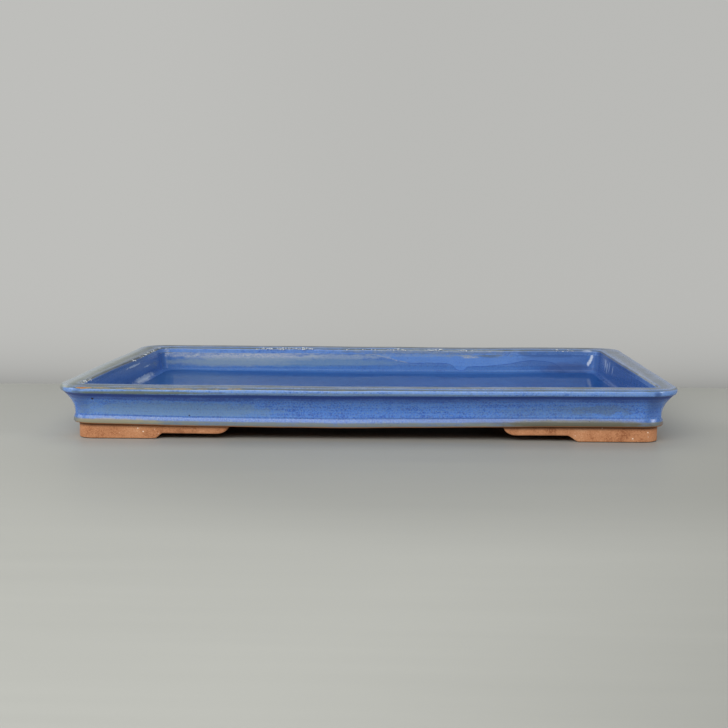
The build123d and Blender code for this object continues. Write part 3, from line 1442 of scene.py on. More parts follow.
@dataclass
class FloorSlab:
    """Floor of the tray, glazed on top and bare below, with its holes."""

    workshop: Workshop
    edge_inset: float = 14.8
    drain: Hole = Hole(125.0, 0.0, 15.0, 24.0)
    wire: Hole = Hole(60.0, 28.0, 3.0, 7.0)
    edge_round: float = 1.4
    round_steps: int = 5
    ring_steps: int = 4
    pitch: float = 4.0
    rim_thinness: float = 0.85
    rim_reach: float = 1.6
    glaze_depth: float = 2.5
    glaze_fade: float = 1.5

    def holes(self) -> list[Hole]:
        """All holes of the floor."""
        found = [self.drain.mirrored(side, 1) for side in (-1, 1)]
        return found + [self.wire.mirrored(side, end) for side in (-1, 1) for end in (-1, 1)]

    def lines(self, reach: float, marks: list[float]) -> list[float]:
        """Grid lines from -reach to reach that pass through all marks.

        Args:
            reach: Half size of the grid.
            marks: Places that need a line.

        Returns:
            Places of the lines.
        """
        stops = sorted({-reach, reach, *[round(mark, 4) for mark in marks]})
        found = [stops[0]]
        for low, high in zip(stops, stops[1:]):
            found += divided(low, high, self.pitch)
        return found

    def rounded(self, x: float, y: float) -> Spot:
        """Draw a point in so that the slab's corners become round.

        Args:
            x: Place along X on the square-cornered slab.
            y: Place along Y.

        Returns:
            The place on the round-cornered slab.
        """
        plan = self.workshop.plan
        radius = plan.corner_radius - self.edge_inset
        core_x = plan.half_length - plan.corner_radius
        core_y = plan.half_depth - plan.corner_radius
        over_x = (abs(x) - core_x) / radius
        over_y = (abs(y) - core_y) / radius
        if over_x <= 0 or over_y <= 0:
            return x, y
        new_x = core_x + radius * over_x * math.sqrt(1 - over_y * over_y / 2)
        new_y = core_y + radius * over_y * math.sqrt(1 - over_x * over_x / 2)
        return math.copysign(new_x, x), math.copysign(new_y, y)

    def mesh(self, name: str) -> Mesh:
        """Mesh of the slab.

        Args:
            name: Name of the mesh.

        Returns:
            The mesh.
        """
        plan = self.workshop.plan
        holes = self.holes()
        x_marks = [hole.x + side * hole.block for hole in holes for side in (-1, 1)]
        y_marks = [hole.y + side * hole.block for hole in holes for side in (-1, 1)]
        xs = self.lines(plan.half_length - self.edge_inset, x_marks)
        ys = self.lines(plan.half_depth - self.edge_inset, y_marks)
        shell = bmesh.new()
        grids = [self.sheet(shell, xs, ys, level) for level in (plan.floor_top, plan.foot_top)]
        self.bridge(shell, [self.ring(grid, range(len(xs)), range(len(ys))) for grid in grids])
        for hole in holes:
            self.bore(shell, xs, ys, grids, hole)
        bmesh.ops.remove_doubles(shell, verts=shell.verts, dist=1e-6)
        loose = [vert for vert in shell.verts if not vert.link_faces]
        bmesh.ops.delete(shell, geom=loose, context="VERTS")
        mesh = bpy.data.meshes.new(name)
        shell.to_mesh(mesh)
        shell.free()
        return mesh

    def sheet(self, shell: Shell, xs: list[float], ys: list[float], level: float) -> dict:
        """Flat grid at one level, left open where the holes are.

        Args:
            shell: Mesh that the grid goes into.
            xs: Grid lines along X.
            ys: Grid lines along Y.
            level: Height.

        Returns:
            The vertices by grid place.
        """
        holes = self.holes()
        grid = {}
        for i, x in enumerate(xs):
            for j, y in enumerate(ys):
                grid[i, j] = shell.verts.new(Vector((*self.rounded(x, y), level)) * MM)
        for i in range(len(xs) - 1):
            for j in range(len(ys) - 1):
                x = (xs[i] + xs[i + 1]) / 2
                y = (ys[j] + ys[j + 1]) / 2
                if not any(max(abs(x - hole.x), abs(y - hole.y)) < hole.block for hole in holes):
                    shell.faces.new((grid[i, j], grid[i + 1, j], grid[i + 1, j + 1], grid[i, j + 1]))
        return grid

    @staticmethod
    def ring(grid: dict, columns: Sequence[int], rows: Sequence[int]) -> list:
        """What a grid holds once round the edge of some columns and rows.

        Args:
            grid: What is read, by column and row.
            columns: The columns.
            rows: The rows.

        Returns:
            What stands along the edge.
        """
        walk = [(i, rows[0]) for i in columns[:-1]] + [(columns[-1], j) for j in rows[:-1]]
        walk += [(i, rows[-1]) for i in columns[:0:-1]] + [(columns[0], j) for j in rows[:0:-1]]
        return [grid[place] for place in walk]

    @staticmethod
    def bridge(shell: Shell, rings: list[list]) -> None:
        """Join each ring of vertices to the next one with faces.

        Args:
            shell: The mesh.
            rings: The rings.
        """
        for outer, inner in zip(rings, rings[1:]):
            for k, here in enumerate(outer):
                after = (k + 1) % len(outer)
                shell.faces.new((here, outer[after], inner[after], inner[k]))

    def bore(self, shell: Shell, xs: list[float], ys: list[float], grids: list, hole: Hole) -> None:
        """Fill the open square round a hole, down through the slab and up again.

        Args:
            shell: The mesh.
            xs: Grid lines along X.
            ys: Grid lines along Y.
            grids: Vertices of the top and the bottom sheet.
            hole: The hole.
        """
        plan = self.workshop.plan
        columns = [i for i, x in enumerate(xs) if abs(x - hole.x) <= hole.block + NEAR]
        rows = [j for j, y in enumerate(ys) if abs(y - hole.y) <= hole.block + NEAR]
        places = {(i, j): (xs[i], ys[j]) for i in columns for j in rows}
        square = np.array(self.ring(places, columns, rows))
        centre = np.array((hole.x, hole.y))
        ways = square - centre
        ways /= np.linalg.norm(ways, axis=1, keepdims=True)
        rim = centre + (hole.radius + self.edge_round) * ways
        shares = [step / self.ring_steps for step in range(1, self.ring_steps + 1)]
        rings = [(square + share * (rim - square), plan.floor_top) for share in shares]
        rings += [(centre + radius * ways, level) for radius, level in self.hole_side(hole.radius)]
        rings += [(square + share * (rim - square), plan.foot_top) for share in reversed(shares)]
        top, bottom = (self.ring(grid, columns, rows) for grid in grids)
        skin = [[shell.verts.new(Vector((*spot, level)) * MM) for spot in ring] for ring, level in rings]
        self.bridge(shell, [top, *skin, bottom])

    def hole_side(self, radius: float) -> list[Spot]:
        """Radius and height down the side of a hole, with rounded edges.

        Args:
            radius: Radius of the hole.

        Returns:
            The points.
        """
        plan = self.workshop.plan
        top = []
        for step in range(1, self.round_steps + 1):
            turn = math.pi / 2 * step / self.round_steps
            reach = radius + self.edge_round * (1 - math.sin(turn))
            top.append((reach, plan.floor_top - self.edge_round * (1 - math.cos(turn))))
        return top + [(reach, plan.foot_top + plan.floor_top - level) for reach, level in reversed(top)]

    def build(self, material: Material) -> None:
        """Make the slab.

        Args:
            material: Its finish.
        """
        plan = self.workshop.plan
        mesh = self.mesh("tray_floor")
        places = np.array([vert.co for vert in mesh.vertices]) / MM
        away = [np.abs(np.hypot(places[:, 0] - h.x, places[:, 1] - h.y) - h.radius) for h in self.holes()]
        near_rim = np.min(away, axis=0) / self.rim_reach
        start = plan.wall_top - plan.coil_top + math.pi / 2 * plan.coil_radius
        bare = (plan.floor_top - self.glaze_depth - places[:, 2]) / self.glaze_fade
        carry(mesh, "profile", np.full(len(places), start * MM))
        carry(mesh, "thin", self.rim_thinness * np.exp(-(near_rim**2)))
        carry(mesh, "bare", np.clip(bare, 0.0, 1.0))
        self.workshop.complete(new_object("tray_floor", mesh), "floor_slab", material)


@dataclass
class Foot:
    """L-shaped stepped foot with softened edges."""

    workshop: Workshop
    inset: float = 16.0
    long_leg: float = 126.6
    long_tall: float = 64.8
    short_leg: float = 92.0
    short_tall: float = 46.0
    width: float = 22.0
    corner_radius: float = 14.0
    sharpest_bend: float = 0.3
    step_run: float = 8.4
    step_play: float = 1.4
    step_rise: float = 5.2
    step_ease: float = 0.7
    end_run: float = 11.0
    thinnest: float = 0.5
    bottom_round: float = 1.3
    top_round: float = 0.4
    largest_round: float = 0.45
    round_points: int = 6
    wide_steps: int = 8
    tall_steps: int = 5
    turn_steps: int = 12
    pitch: float = 2.0
    fine_pitch: float = 0.75
    margin: float = 2.0
    lead: float = 3.0

    def underside(self, distance: float, length: float, tall: float, run: float) -> float:
        """Height of the underside at a distance from the corner along a leg.

        Args:
            distance: Distance from the corner.
            length: Length of the leg.
            tall: Length of its part that reaches the ground.
            run: Length of the step that was cut in it.

        Returns:
            The height.
        """
        top = self.workshop.plan.foot_top
        if distance <= tall:
            return 0.0
        share = min((distance - tall) / run, 1.0)
        eased = self.step_ease * (share * share * (3 - 2 * share)) + (1 - self.step_ease) * share
        rise = self.step_rise * eased
        curl = distance - (length - self.end_run)
        if curl > 0:
            turn = min(curl / self.end_run, 1.0)
            rise += (top - self.step_rise) * (1 - math.sqrt(1 - turn * turn))
        return min(rise, top - self.thinnest)

    def distances(self, length: float, tall: float) -> list[float]:
        """Distances from the corner of the cross sections along a leg.

        Args:
            length: Length of the leg.
            tall: Length of its part that reaches the ground.

        Returns:
            The distances.
        """
        step_end = tall + self.step_run + self.margin
        marks = [self.width + self.margin, tall - self.lead, tall, step_end, length - self.end_run, length]
        found = [marks[0]]
        for low, high in zip(marks, marks[1:]):
            found += divided(low, high, self.pitch if high - low > 2 * self.end_run else self.fine_pitch)
        return found

    def loop(self, bottom: float) -> list[Spot]:
        """Closed cross section: distance from the outer face against height.

        Args:
            bottom: Height of the underside.

        Returns:
            The points.
        """
        top = self.workshop.plan.foot_top
        largest = self.largest_round * (top - bottom)
        low = min(self.bottom_round, largest)
        high = min(self.top_round, largest)
        corners = (
            (0.0, bottom, low, 2), (self.width, bottom, low, 3),
            (self.width, top, high, 0), (0.0, top, high, 1),
        )
        points = []
        for across, level, radius, quarter in corners:
            centre_across = across + math.copysign(radius, self.width / 2 - across)
            centre_level = level + math.copysign(radius, (top + bottom) / 2 - level)
            for step in range(self.round_points):
                turn = math.pi / 2 * (quarter + step / (self.round_points - 1))
                x = centre_across + radius * math.cos(turn)
                points.append((x, centre_level + radius * math.sin(turn)))
        return self.filled(points)

    def filled(self, points: list[Spot]) -> list[Spot]:
        """Divide the long runs of a cross section into equal steps.

        Args:
            points: The points of its four rounded corners.

        Returns:
            All points.
        """
        found = []
        steps = self.wide_steps, self.tall_steps
        for index, here in enumerate(points):
            found.append(here)
            if (index + 1) % self.round_points == 0:
                after = points[(index + 1) % len(points)]
                count = steps[index // self.round_points % 2]
                for share in (step / count for step in range(1, count)):
                    found.append(tuple(a + share * (b - a) for a, b in zip(here, after)))
        return found

    def rows(self, run: float) -> np.ndarray:
        """Cross sections along both legs, measured from the corner of the foot.

        Args:
            run: Length of the step that was cut in each leg.

        Returns:
            Points of the cross sections.
        """
        rows = []
        for distance in reversed(self.distances(self.long_leg, self.long_tall)):
            bottom = self.underside(distance, self.long_leg, self.long_tall, run)
            rows.append([(distance, across, level) for across, level in self.loop(bottom)])
        for step in range(self.turn_steps + 1):
            turn = math.pi / 2 * step / self.turn_steps
            row = []
            for across, level in self.loop(0.0):
                bend = max(self.corner_radius - across, self.sharpest_bend)
                x = across + bend * (1 - math.sin(turn))
                row.append((x, across + bend * (1 - math.cos(turn)), level))
            rows.append(row)
        for distance in self.distances(self.short_leg, self.short_tall):
            bottom = self.underside(distance, self.short_leg, self.short_tall, run)
            rows.append([(across, distance, level) for across, level in self.loop(bottom)])
        return np.array(rows)

    def build(self, corner: Corner, material: Material) -> None:
        """Make the foot of one corner.

        Args:
            corner: The corner.
            material: Its finish.
        """
        plan = self.workshop.plan
        along, across = corner.value
        rows = self.rows(self.step_run + along * self.step_play)
        rows[:, :, 0] = along * (plan.half_length - self.inset - rows[:, :, 0])
        rows[:, :, 1] = across * (plan.half_depth - self.inset - rows[:, :, 1])
        name = f"{corner.label}_clay_foot"
        piece = new_object(name, lofted(name, rows))
        self.workshop.complete(piece, f"{corner.label}_foot", material, Slot.CLAY)


@dataclass
class InnerCrust:
    """Dry white flecks where the glaze crawled along the inner edge of the lip."""

    workshop: Workshop
    drop: float = 0.9
    hold: float = 0.3
    back_runs: tuple[Spot, ...] = (
        (-138.0, -58.0), (-134.0, -64.0), (-128.0, -76.0), (-126.0, -68.0), (-122.0, -74.0),
        (-42.0, 112.0), (36.0, 110.0), (180.0, 206.0),
    )
    left_runs: tuple[Spot, ...] = ((30.0, 152.0), (-152.0, -118.0))

    def build(self, material: Material) -> None:
        """Strew the flecks.

        Args:
            material: Look of the crust.
        """
        plan = self.workshop.plan
        level = plan.lip_top - plan.lip_top_drop - self.drop
        reach_x = plan.half_length - plan.opening_inset + self.hold
        reach_y = plan.half_depth - plan.opening_inset + self.hold
        ends = [(x, reach_y, level) for run in self.back_runs for x in run]
        ends += [(-reach_x, y, level) for run in self.left_runs for y in run]
        mesh = bpy.data.meshes.new("lip_crust")
        lines = [(k, k + 1) for k in range(0, len(ends), 2)]
        mesh.from_pydata((np.array(ends) * MM).tolist(), lines, [])
        piece = new_object("lip_crust", mesh)
        add_tree(piece, crust_tree(), {"Material": material})
        self.workshop.shape(piece, material)
        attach(piece, BODY)
        log.info("%s: %d faces of flecks", piece.name, len(piece.data.polygons))


# ---- joined shading


@dataclass
class SeamShading:
    """Carries smooth shading across the seams, where one skin of glaze covers them."""

    reach: float = 0.02 * MM
    crease: float = math.radians(36)

    def apply(self, pieces: list[Piece]) -> None:
        """Give all pieces normals that agree along their seams.

        Args:
            pieces: The glazed pieces.
        """
        places, normals, areas, owners = [], [], [], []
        total = 0
        for mesh in (piece.data for piece in pieces):
            spots = np.zeros(len(mesh.vertices) * 3)
            mesh.vertices.foreach_get("co", spots)
            corners = np.zeros(len(mesh.loops), dtype=np.int64)
            mesh.loops.foreach_get("vertex_index", corners)
            sizes = [face.loop_total for face in mesh.polygons]
            places.append(spots.reshape(-1, 3))
            normals.append(np.repeat([face.normal for face in mesh.polygons], sizes, axis=0))
            areas.append(np.repeat([face.area for face in mesh.polygons], sizes))
            owners.append(corners + total)
            total += len(mesh.vertices)
        keys = self.clusters(np.concatenate(places))[np.concatenate(owners)]
        smooth = self.averaged(keys, np.concatenate(normals), np.concatenate(areas))
        position = 0
        for piece, corners in zip(pieces, owners):
            share = smooth[position:position + len(corners)]
            piece.data.normals_split_custom_set(share.tolist())
            position += len(corners)

    def clusters(self, places: np.ndarray) -> np.ndarray:
        """Group the vertices that coincide.

        Args:
            places: Places of the vertices.

        Returns:
            The group of each vertex, as the number of its first one.
        """
        tree = KDTree(len(places))
        for index, place in enumerate(places):
            tree.insert(place, index)
        tree.balance()
        groups = np.full(len(places), -1, dtype=np.int64)
        for index, place in enumerate(places):
            if groups[index] >= 0:
                continue
            for _, other, _ in tree.find_range(place, self.reach):
                if groups[other] < 0:
                    groups[other] = index
        return groups

    def averaged(self, keys: np.ndarray, normals: np.ndarray, areas: np.ndarray) -> np.ndarray:
        """Average the normals of the faces that meet at a place, up to a crease.

        Args:
            keys: Group of each face corner.
            normals: Normal of the face of each corner.
            areas: Area of that face.

        Returns:
            The smooth normal of each corner.
        """
        order = np.argsort(keys, kind="stable")
        keys, own, weights = keys[order], normals[order], areas[order]
        total = own * weights[:, None]
        limit = math.cos(self.crease)
        shift = 1
        while True:
            same = keys[shift:] == keys[:-shift]
            if not same.any():
                break
            ahead, behind = own[shift:], own[:-shift]
            close = same & (np.einsum("ij,ij->i", ahead, behind) > limit)
            total[:-shift][close] += (ahead * weights[shift:, None])[close]
            total[shift:][close] += (behind * weights[:-shift, None])[close]
            shift += 1
        total /= np.linalg.norm(total, axis=1, keepdims=True)
        result = np.empty_like(total)
        result[order] = total
        return result


# ---- studio


@dataclass
class Studio:
    """Table, backdrop, lamps and camera."""

    half_width: float = 20.0
    backdrop_y: float = 0.198
    backdrop_height: float = 2.6
    table_colour: Colour = paint(183, 184, 178)
    # Painted shadow on the table in front of the tray.
    table_shade: Patch = Patch((90.0, -250.0, 0.0), (420.0, 300.0, 60.0), 0.17, ragged=0.0)
    # Painted light falloff towards the front right of the table.
    table_fall: Spot = (640.0, 1500.0)
    shadow_reach: Spot = (236.0, 160.0)
    shadow_fade: float = 45.0
    backdrop_colour: Colour = paint(190, 190, 187)
    surround_colour: Colour = paint(208, 207, 204)
    surround_strength: float = 0.45
    camera_place: Point = (39.77, -1229.18, 179.19)
    camera_yaw: float = math.radians(-2.206)
    camera_pitch: float = math.radians(6.214)
    camera_roll: float = math.radians(0.096)
    camera_lens: float = 65.17

    def table(self) -> None:
        """Pale table top, with painted shadow in front of and under the tray and painted light falloff
        towards the front right.
        """
        draft = SurfaceDraft("pale_table")
        brushed = draft.joined(draft.x * 0.004, draft.y * 0.05, 0.0)
        brush = draft.noise(brushed, 1.0, 3.0, 0.6) - 0.5
        # Painted shadow in front of the tray, and painted light falloff towards the front right.
        tone = brush * 0.1 + 1.0 - draft.patch_mask(self.table_shade)
        tone = tone - draft.step(draft.x * 2.0 - draft.y, *self.table_fall, 0.0, 0.4)
        # Painted shadow under the tray.
        reach_x, reach_y = self.shadow_reach
        under = draft.step(abs(draft.x), reach_x - self.shadow_fade, reach_x, 1.0, 0.0)
        under = under * draft.step(abs(draft.y), reach_y - self.shadow_fade, reach_y, 1.0, 0.0)
        colour = draft.scaled(self.table_colour[:3], tone * (1.0 - under * 0.8))
        normal = draft.bump(brush, 0.05, 0.2)
        material = draft.finish(colour, brush * 0.15 + 0.45, normal, specular=0.15)
        half = self.half_width
        corners = [(-half, -half, 0), (half, -half, 0), (half, half, 0), (-half, half, 0)]
        self.panel("table", corners, material)

    def backdrop(self) -> None:
        """Plain backdrop, seen only from the front, that neither lights nor shades the tray; its glow is
        painted darker towards the table.
        """
        draft = SurfaceDraft("pale_backdrop")
        # Painted shading: the glow darkens towards the table and a little towards the right.
        tone = 1.0 - draft.math("POWER", 0.96, draft.z) * 0.33
        tone = tone - draft.step(draft.x, -300.0, 60.0) * 0.05
        glow = draft.out("ShaderNodeEmission", {"Color": draft.scaled(self.backdrop_colour[:3], tone)})
        clear = draft.out("ShaderNodeBsdfTransparent")
        behind = draft.out("ShaderNodeNewGeometry", output="Backfacing")
        mixed = draft.out("ShaderNodeMixShader", {0: behind, 1: glow, 2: clear})
        draft.node("ShaderNodeOutputMaterial", {"Surface": mixed})
        half, y, top = self.half_width, self.backdrop_y, self.backdrop_height
        corners = [(-half, y, 0), (half, y, 0), (half, y, top), (-half, y, top)]
        panel = self.panel("backdrop", corners, draft.material)
        panel.visible_diffuse = False
        panel.visible_shadow = False
        panel.visible_transmission = False

    def panel(self, name: str, corners: list[Point], material: Material) -> Piece:
        """Flat four-cornered sheet of the studio.

        Args:
            name: Name of the sheet.
            corners: Its corners, in metres.
            material: Its material.

        Returns:
            The sheet.
        """
        mesh = bpy.data.meshes.new(name)
        mesh.from_pydata(corners, [], [(0, 1, 2, 3)])
        mesh.materials.append(material)
        panel = new_object(name, mesh)
        return panel

    def lamp(self, name: str, place: Point, aim: Point, size: Spot, power: float) -> None:
        """Soft rectangular lamp.

        Args:
            name: Name of the lamp.
            place: Where it stands, in metres.
            aim: Where it points.
            size: Width and height, in metres.
            power: Power in watts.
        """
        light = bpy.data.lights.new(name, "AREA")
        light.shape = "RECTANGLE"
        light.size, light.size_y = size
        light.energy = power
        holder = new_object(name, light)
        holder.visible_camera = False
        turn = (Vector(aim) - Vector(place)).to_track_quat("-Z", "Y")
        holder.matrix_world = Matrix.Translation(place) @ turn.to_matrix().to_4x4()

    def lamps(self) -> None:
        """Overhead softbox and softboxes at the front and the sides, in an even grey surround."""
        self.lamp("front_softbox", (-0.5, -1.75, 1.05), (0.0, 0.0, 0.02), (2.4, 0.8), 29.5)
        self.lamp("overhead_softbox", (0.0, 0.35, 1.5), (0.0, 0.0, 0.0), (2.0, 1.0), 5.0)
        self.lamp("left_softbox", (-1.5, -0.55, 0.45), (0.0, 0.0, 0.05), (0.5, 0.7), 5.0)
        self.lamp("right_softbox", (1.35, -0.75, 0.55), (0.0, 0.0, 0.05), (0.3, 0.4), 5.0)
        world = bpy.data.worlds.new("studio_surround")
        bpy.context.scene.world = world
        world.use_nodes = True
        background = world.node_tree.nodes["Background"]
        background.inputs["Color"].default_value = self.surround_colour
        background.inputs["Strength"].default_value = self.surround_strength

    def camera(self) -> None:
        """Camera at the viewing angle of the tray."""
        yaw, pitch, roll = self.camera_yaw, self.camera_pitch, self.camera_roll
        ahead = Vector((math.sin(yaw) * math.cos(pitch), math.cos(yaw) * math.cos(pitch), -math.sin(pitch)))
        right = Vector((math.cos(yaw), -math.sin(yaw), 0.0))
        up = right.cross(ahead)
        rolled_right = right * math.cos(roll) + up * math.sin(roll)
        rolled_up = up * math.cos(roll) - right * math.sin(roll)
        data = bpy.data.cameras.new("camera")
        data.lens = self.camera_lens
        data.sensor_width = 36.0
        data.clip_start = 0.01
        holder = new_object("camera", data)
        turn = Matrix((rolled_right, rolled_up, -ahead)).transposed().to_4x4()
        holder.matrix_world = Matrix.Translation(Vector(self.camera_place) * MM) @ turn
        bpy.context.scene.camera = holder

    def build(self) -> None:
        """Set up the whole studio."""
        self.table()
        self.backdrop()
        self.lamps()
        self.camera()
        bpy.context.scene.view_settings.view_transform = "Standard"


# ---- the tray


def lip_glaze() -> BlueGlaze:
    """Glaze of the lip, lighter on the bead and broken along its edges, with painted sheen, a painted
    highlight and painted shade.

    Returns:
        The finish.
    """
    dark, moss = paint(54, 60, 56), paint(100, 110, 84)
    return BlueGlaze(
        "lip_glaze",
        deep=paint(68, 106, 182),
        body=paint(108, 148, 212),
        pale=paint(160, 182, 220),
        olive=paint(86, 94, 86),
        rough=0.22,
        dry=0.3,
        coat=0.0,
        breaks=(
            Patch((-249.0, -175.0, 44.2), (10.0, 8.0, 2.4), 1.0),
            Patch((-240.0, -179.6, 44.2), (20.0, 4.0, 2.4), 0.95),
            Patch((-175.0, -179.6, 44.2), (90.0, 4.5, 2.4), 0.75),
            Patch((-30.0, -179.6, 44.2), (110.0, 4.5, 2.4), 0.3),
        ),
        patches=(
            Patch((-40.0, 180.5, 45.2), (900.0, 10.0, 3.0), 0.9, dark, 0.2),
            Patch((-254.0, 0.0, 44.0), (5.0, 700.0, 3.6), 0.85, paint(138, 148, 146), 0.3),
            # Painted sheen: pale grey on the tops of the right and left rims.
            Patch((246.0, 10.0, 45.0), (13.0, 300.0, 4.0), 0.45, paint(156, 164, 178), 0.2),
            Patch((-248.0, -40.0, 45.0), (11.0, 300.0, 3.0), 0.7, paint(182, 190, 188), 0.2),
            Patch((-240.0, -40.0, 45.0), (7.0, 300.0, 3.0), 0.65, paint(122, 130, 122), 0.3),
            Patch((238.5, -100.0, 43.8), (2.6, 70.0, 1.6), 0.6, paint(206, 212, 210), 0.8, 1.0),
            Patch((-252.0, -162.0, 42.0), (7.0, 14.0, 5.0), 0.75, paint(118, 124, 108), 0.4),
            Patch((-185.0, -178.6, 40.4), (84.0, 6.0, 1.7), 0.85, moss, 0.35),
            Patch((-20.0, -178.6, 39.9), (200.0, 6.0, 1.2), 0.45, moss, 0.4),
            Patch((-232.0, 60.0, 44.8), (6.0, 130.0, 3.0), 0.6, paint(76, 84, 74)),
            Patch((60.0, 158.0, 41.2), (130.0, 5.0, 3.2), 0.75, paint(96, 114, 136), 0.9, 0.4),
            Patch((60.0, 158.0, 42.0), (110.0, 5.0, 3.4), 0.45, paint(180, 190, 190), 1.0, 1.0),
            # Painted highlight at the back right corner of the lip.
            Patch((221.0, 158.0, 42.8), (7.0, 6.0, 2.0), 0.55, paint(190, 206, 228), 0.4),
            # Painted shade towards the right end of the back lip.
            Patch((190.0, 158.0, 41.0), (62.0, 5.0, 4.0), 0.6, paint(66, 100, 152), 0.5),
            # Painted shade on the inner faces of the side lips.
            Patch((234.0, 0.0, 41.0), (5.0, 330.0, 4.4), 0.75, paint(46, 76, 136), 0.3),
            Patch((-234.0, 0.0, 41.0), (5.0, 330.0, 4.4), 0.5, paint(52, 80, 132), 0.3),
            Patch((-190.0, 179.6, 44.8), (62.0, 4.0, 3.0), 0.8, paint(96, 98, 84), 0.5),
            Patch((-224.0, 158.0, 42.0), (4.0, 6.0, 3.0), 0.6, paint(206, 212, 210), 0.6, 1.0),
        ),
        pinholes=((157.7, -179.6, 44.0), (160.9, -179.6, 44.0), (162.5, -179.5, 43.6), (-191.0, 177.0, 44.6)),
    )


def wall_glaze() -> BlueGlaze:
    """Glaze of the walls and the seams inside, with painted shade and painted highlights.

    Returns:
        The finish.
    """
    pour = PourLine(points=(
        (-225.0, 39.2), (-145.0, 38.4), (-80.0, 38.5), (-14.0, 39.0), (8.0, 35.4), (30.0, 30.4),
        (40.0, 29.2), (56.0, 29.6), (73.0, 29.2), (81.5, 26.4), (89.7, 21.8), (95.7, 25.7),
        (102.0, 26.1), (119.0, 27.0), (137.0, 28.8), (151.0, 31.4), (164.5, 32.6), (179.0, 31.7),
        (189.7, 28.3), (196.0, 23.0), (203.0, 20.0),
    ))
    cloud, drip_and_highlight = paint(186, 192, 196), paint(184, 202, 226)
    shade, pit = paint(44, 72, 132), paint(22, 26, 40)
    return BlueGlaze(
        "wall_glaze",
        patches=(
            # Painted shade on the inner side walls.
            Patch((-233.0, 0.0, 30.0), (12.0, 300.0, 34.0), 0.55, shade, 0.1),
            Patch((233.0, 0.0, 30.0), (12.0, 300.0, 34.0), 0.6, shade, 0.1),
            # Painted shade towards the right end of the back wall.
            Patch((190.0, 157.0, 33.0), (56.0, 6.0, 18.0), 0.45, paint(48, 86, 150)),
            # Painted glare on the left floor coil.
            Patch((-228.0, 60.0, 23.0), (6.0, 60.0, 3.5), 0.75, drip_and_highlight, 0.6),
            Patch((-156.0, -168.0, 24.0), (110.0, 9.0, 12.0), 0.55, paint(112, 140, 160)),
            Patch((192.0, -168.0, 27.5), (38.0, 9.0, 5.0), 0.4, paint(98, 108, 92), 0.9, 0.4),
            Patch((155.0, -168.0, 25.0), (70.0, 9.0, 7.0), 0.3, paint(96, 118, 132), 0.9, 0.4),
            Patch((-130.0, 157.0, 35.0), (96.0, 6.0, 5.6), 0.95, cloud, 0.5, 0.7),
            Patch((-208.0, 157.0, 37.4), (24.0, 6.0, 3.2), 0.6, cloud, 0.5, 0.8),
            Patch((-40.0, 157.0, 35.6), (60.0, 6.0, 3.8), 0.75, paint(158, 172, 184), 0.5, 0.6),
            Patch((50.0, 157.0, 38.6), (120.0, 6.0, 3.6), 0.5, paint(144, 160, 168), 1.0, 0.9),
            # Painted shade low in the back right corner, also on the seam coils.
            Patch((202.0, 155.0, 24.0), (36.0, 12.0, 9.0), 0.6, paint(64, 84, 136), 0.4),
            Patch((97.0, 157.0, 36.6), (13.0, 6.0, 2.4), 0.85, paint(184, 186, 174), 0.9, 0.9),
            Patch((118.0, 157.0, 37.8), (16.0, 6.0, 2.6), 0.7, paint(60, 90, 128), 0.6),
            Patch((-243.0, -155.0, 24.0), (6.0, 14.0, 8.0), 0.6, paint(140, 150, 130), 0.4),
            # Pinholes, painted near black as shade inside them.
            Patch((-222.6, -173.0, 34.5), (1.3, 9.0, 1.2), 1.0, pit, 0.0),
            Patch((-144.2, -168.0, 20.2), (0.9, 9.0, 0.9), 0.9, pit, 0.0),
            Patch((-100.0, 157.0, 30.0), (170.0, 6.0, 6.0), 0.75, paint(112, 142, 168), 0.4, 0.3),
            Patch((-160.0, 157.0, 29.0), (90.0, 6.0, 6.0), 0.5, paint(144, 160, 172), 0.4, 0.3),
            Patch((108.0, 157.0, 38.4), (46.0, 6.0, 2.8), 0.55, paint(126, 138, 136), 0.9, 0.7),
            # Painted shade towards the right end of the back wall, at its top.
            Patch((184.0, 157.0, 38.6), (50.0, 6.0, 3.4), 0.65, paint(50, 88, 148), 0.6),
            Patch((-223.5, 157.0, 38.0), (3.0, 6.0, 5.0), 0.6, paint(206, 212, 210), 0.7, 1.0),
            # Pale streaks along the left wall: glaze drips with painted highlights.
            Patch((-233.5, 35.0, 38.4), (5.0, 36.0, 1.3), 0.9, drip_and_highlight, 0.8),
            Patch((-233.0, 84.0, 32.6), (5.0, 22.0, 1.2), 0.8, drip_and_highlight, 0.8),
            Patch((-232.0, 120.0, 30.0), (4.0, 20.0, 6.0), 0.45, paint(120, 134, 130), 0.8),
            # Painted highlight: a bright streak down the back right corner.
            *(
                Patch((x, 153.0, z), (1.9, 12.0, 3.2), 0.8, paint(216, 226, 238), 0.15)
                for x, z in ((226.2, 40.4), (225.9, 37.4), (225.1, 34.6), (223.9, 32.0), (222.2, 29.6))
            ),
            # Pale curved streaks on the right wall: glaze drips with painted highlights.
            *(
                Patch((232.5, y, z), (6.0, wide, tall), 0.75, drip_and_highlight, 0.35)
                for y, z, wide, tall in (
                    (108.0, 35.5, 3.4, 9.5), (96.0, 32.0, 4.4, 7.0),
                    (84.0, 36.5, 2.8, 10.5), (65.0, 33.5, 2.8, 6.0),
                )
            ),
        ),
        pour=pour,
    )


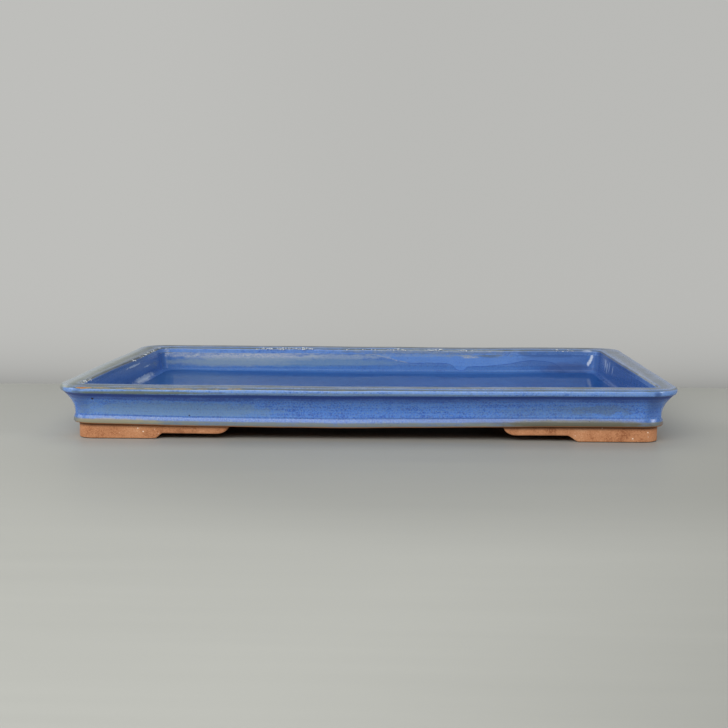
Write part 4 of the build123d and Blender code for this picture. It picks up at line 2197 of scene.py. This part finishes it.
def band_glaze() -> BlueGlaze:
    """Thin glaze of the base band, with painted shade dimming its highlight on the right.

    Returns:
        The finish.
    """
    return BlueGlaze(
        "band_glaze",
        deep=paint(52, 88, 164),
        body=paint(76, 118, 190),
        pale=paint(120, 150, 206),
        olive=paint(116, 122, 112),
        tan=paint(150, 130, 98),
        rough=0.26,
        dry=0.25,
        coat=0.05,
        specular=0.4,
        patches=(
            # Painted shade that dims the highlight along the right part of the band.
            Patch((110.0, -168.0, 18.4), (130.0, 10.0, 3.4), 0.5, paint(62, 98, 162), 0.3),
            Patch((170.0, -168.0, 15.6), (85.0, 10.0, 4.6), 0.9, paint(92, 88, 68), 0.3),
            Patch((-215.0, -168.0, 15.2), (60.0, 10.0, 3.2), 0.7, paint(150, 140, 106), 0.5),
            Patch((241.0, -158.0, 14.6), (6.0, 10.0, 2.6), 0.5, paint(140, 98, 68), 0.5),
        ),
    )


def floor_glaze() -> BlueGlaze:
    """Glaze pooled on the floor.

    Returns:
        The finish.
    """
    return BlueGlaze(
        "floor_glaze",
        deep=paint(22, 56, 124),
        body=paint(34, 86, 158),
        pale=paint(58, 104, 174),
        streak_strength=0.15,
        haze=0.0,
        rough=0.055,
        coat=0.4,
        specular=0.0,
        peel=0.02,
        patches=(
            Patch((-195.0, 60.0, 21.0), (80.0, 120.0, 12.0), 0.35, paint(78, 114, 164), 0.3),
            Patch((40.0, 148.0, 21.0), (210.0, 14.0, 12.0), 0.5, paint(72, 118, 186), 0.3),
        ),
    )


def main() -> None:
    """Build the tray piece by piece, then the studio round it."""
    logging.basicConfig(level=logging.INFO, format="%(name)s: %(message)s")
    plan = TrayPlan.from_frame()
    workshop = Workshop(plan)
    Lip(workshop).build(lip_glaze())
    walls = wall_glaze()
    Walls(workshop).build(walls)
    BaseBand(workshop).build(band_glaze())
    floor = floor_glaze().build()
    seams = replace(walls, name="seam_glaze", specular=0.12, coat=0.0)
    SeamCoils(workshop).build(seams.build())
    FloorSlab(workshop).build(floor)
    InnerCrust(workshop).build(DryCrust("glaze_crust").build())
    clay = BareClay("foot_clay").build()
    for corner in Corner:
        Foot(workshop).build(corner, clay)
    SeamShading().apply(workshop.glazed)
    Studio().build()


if __name__ == "__main__":
    main()
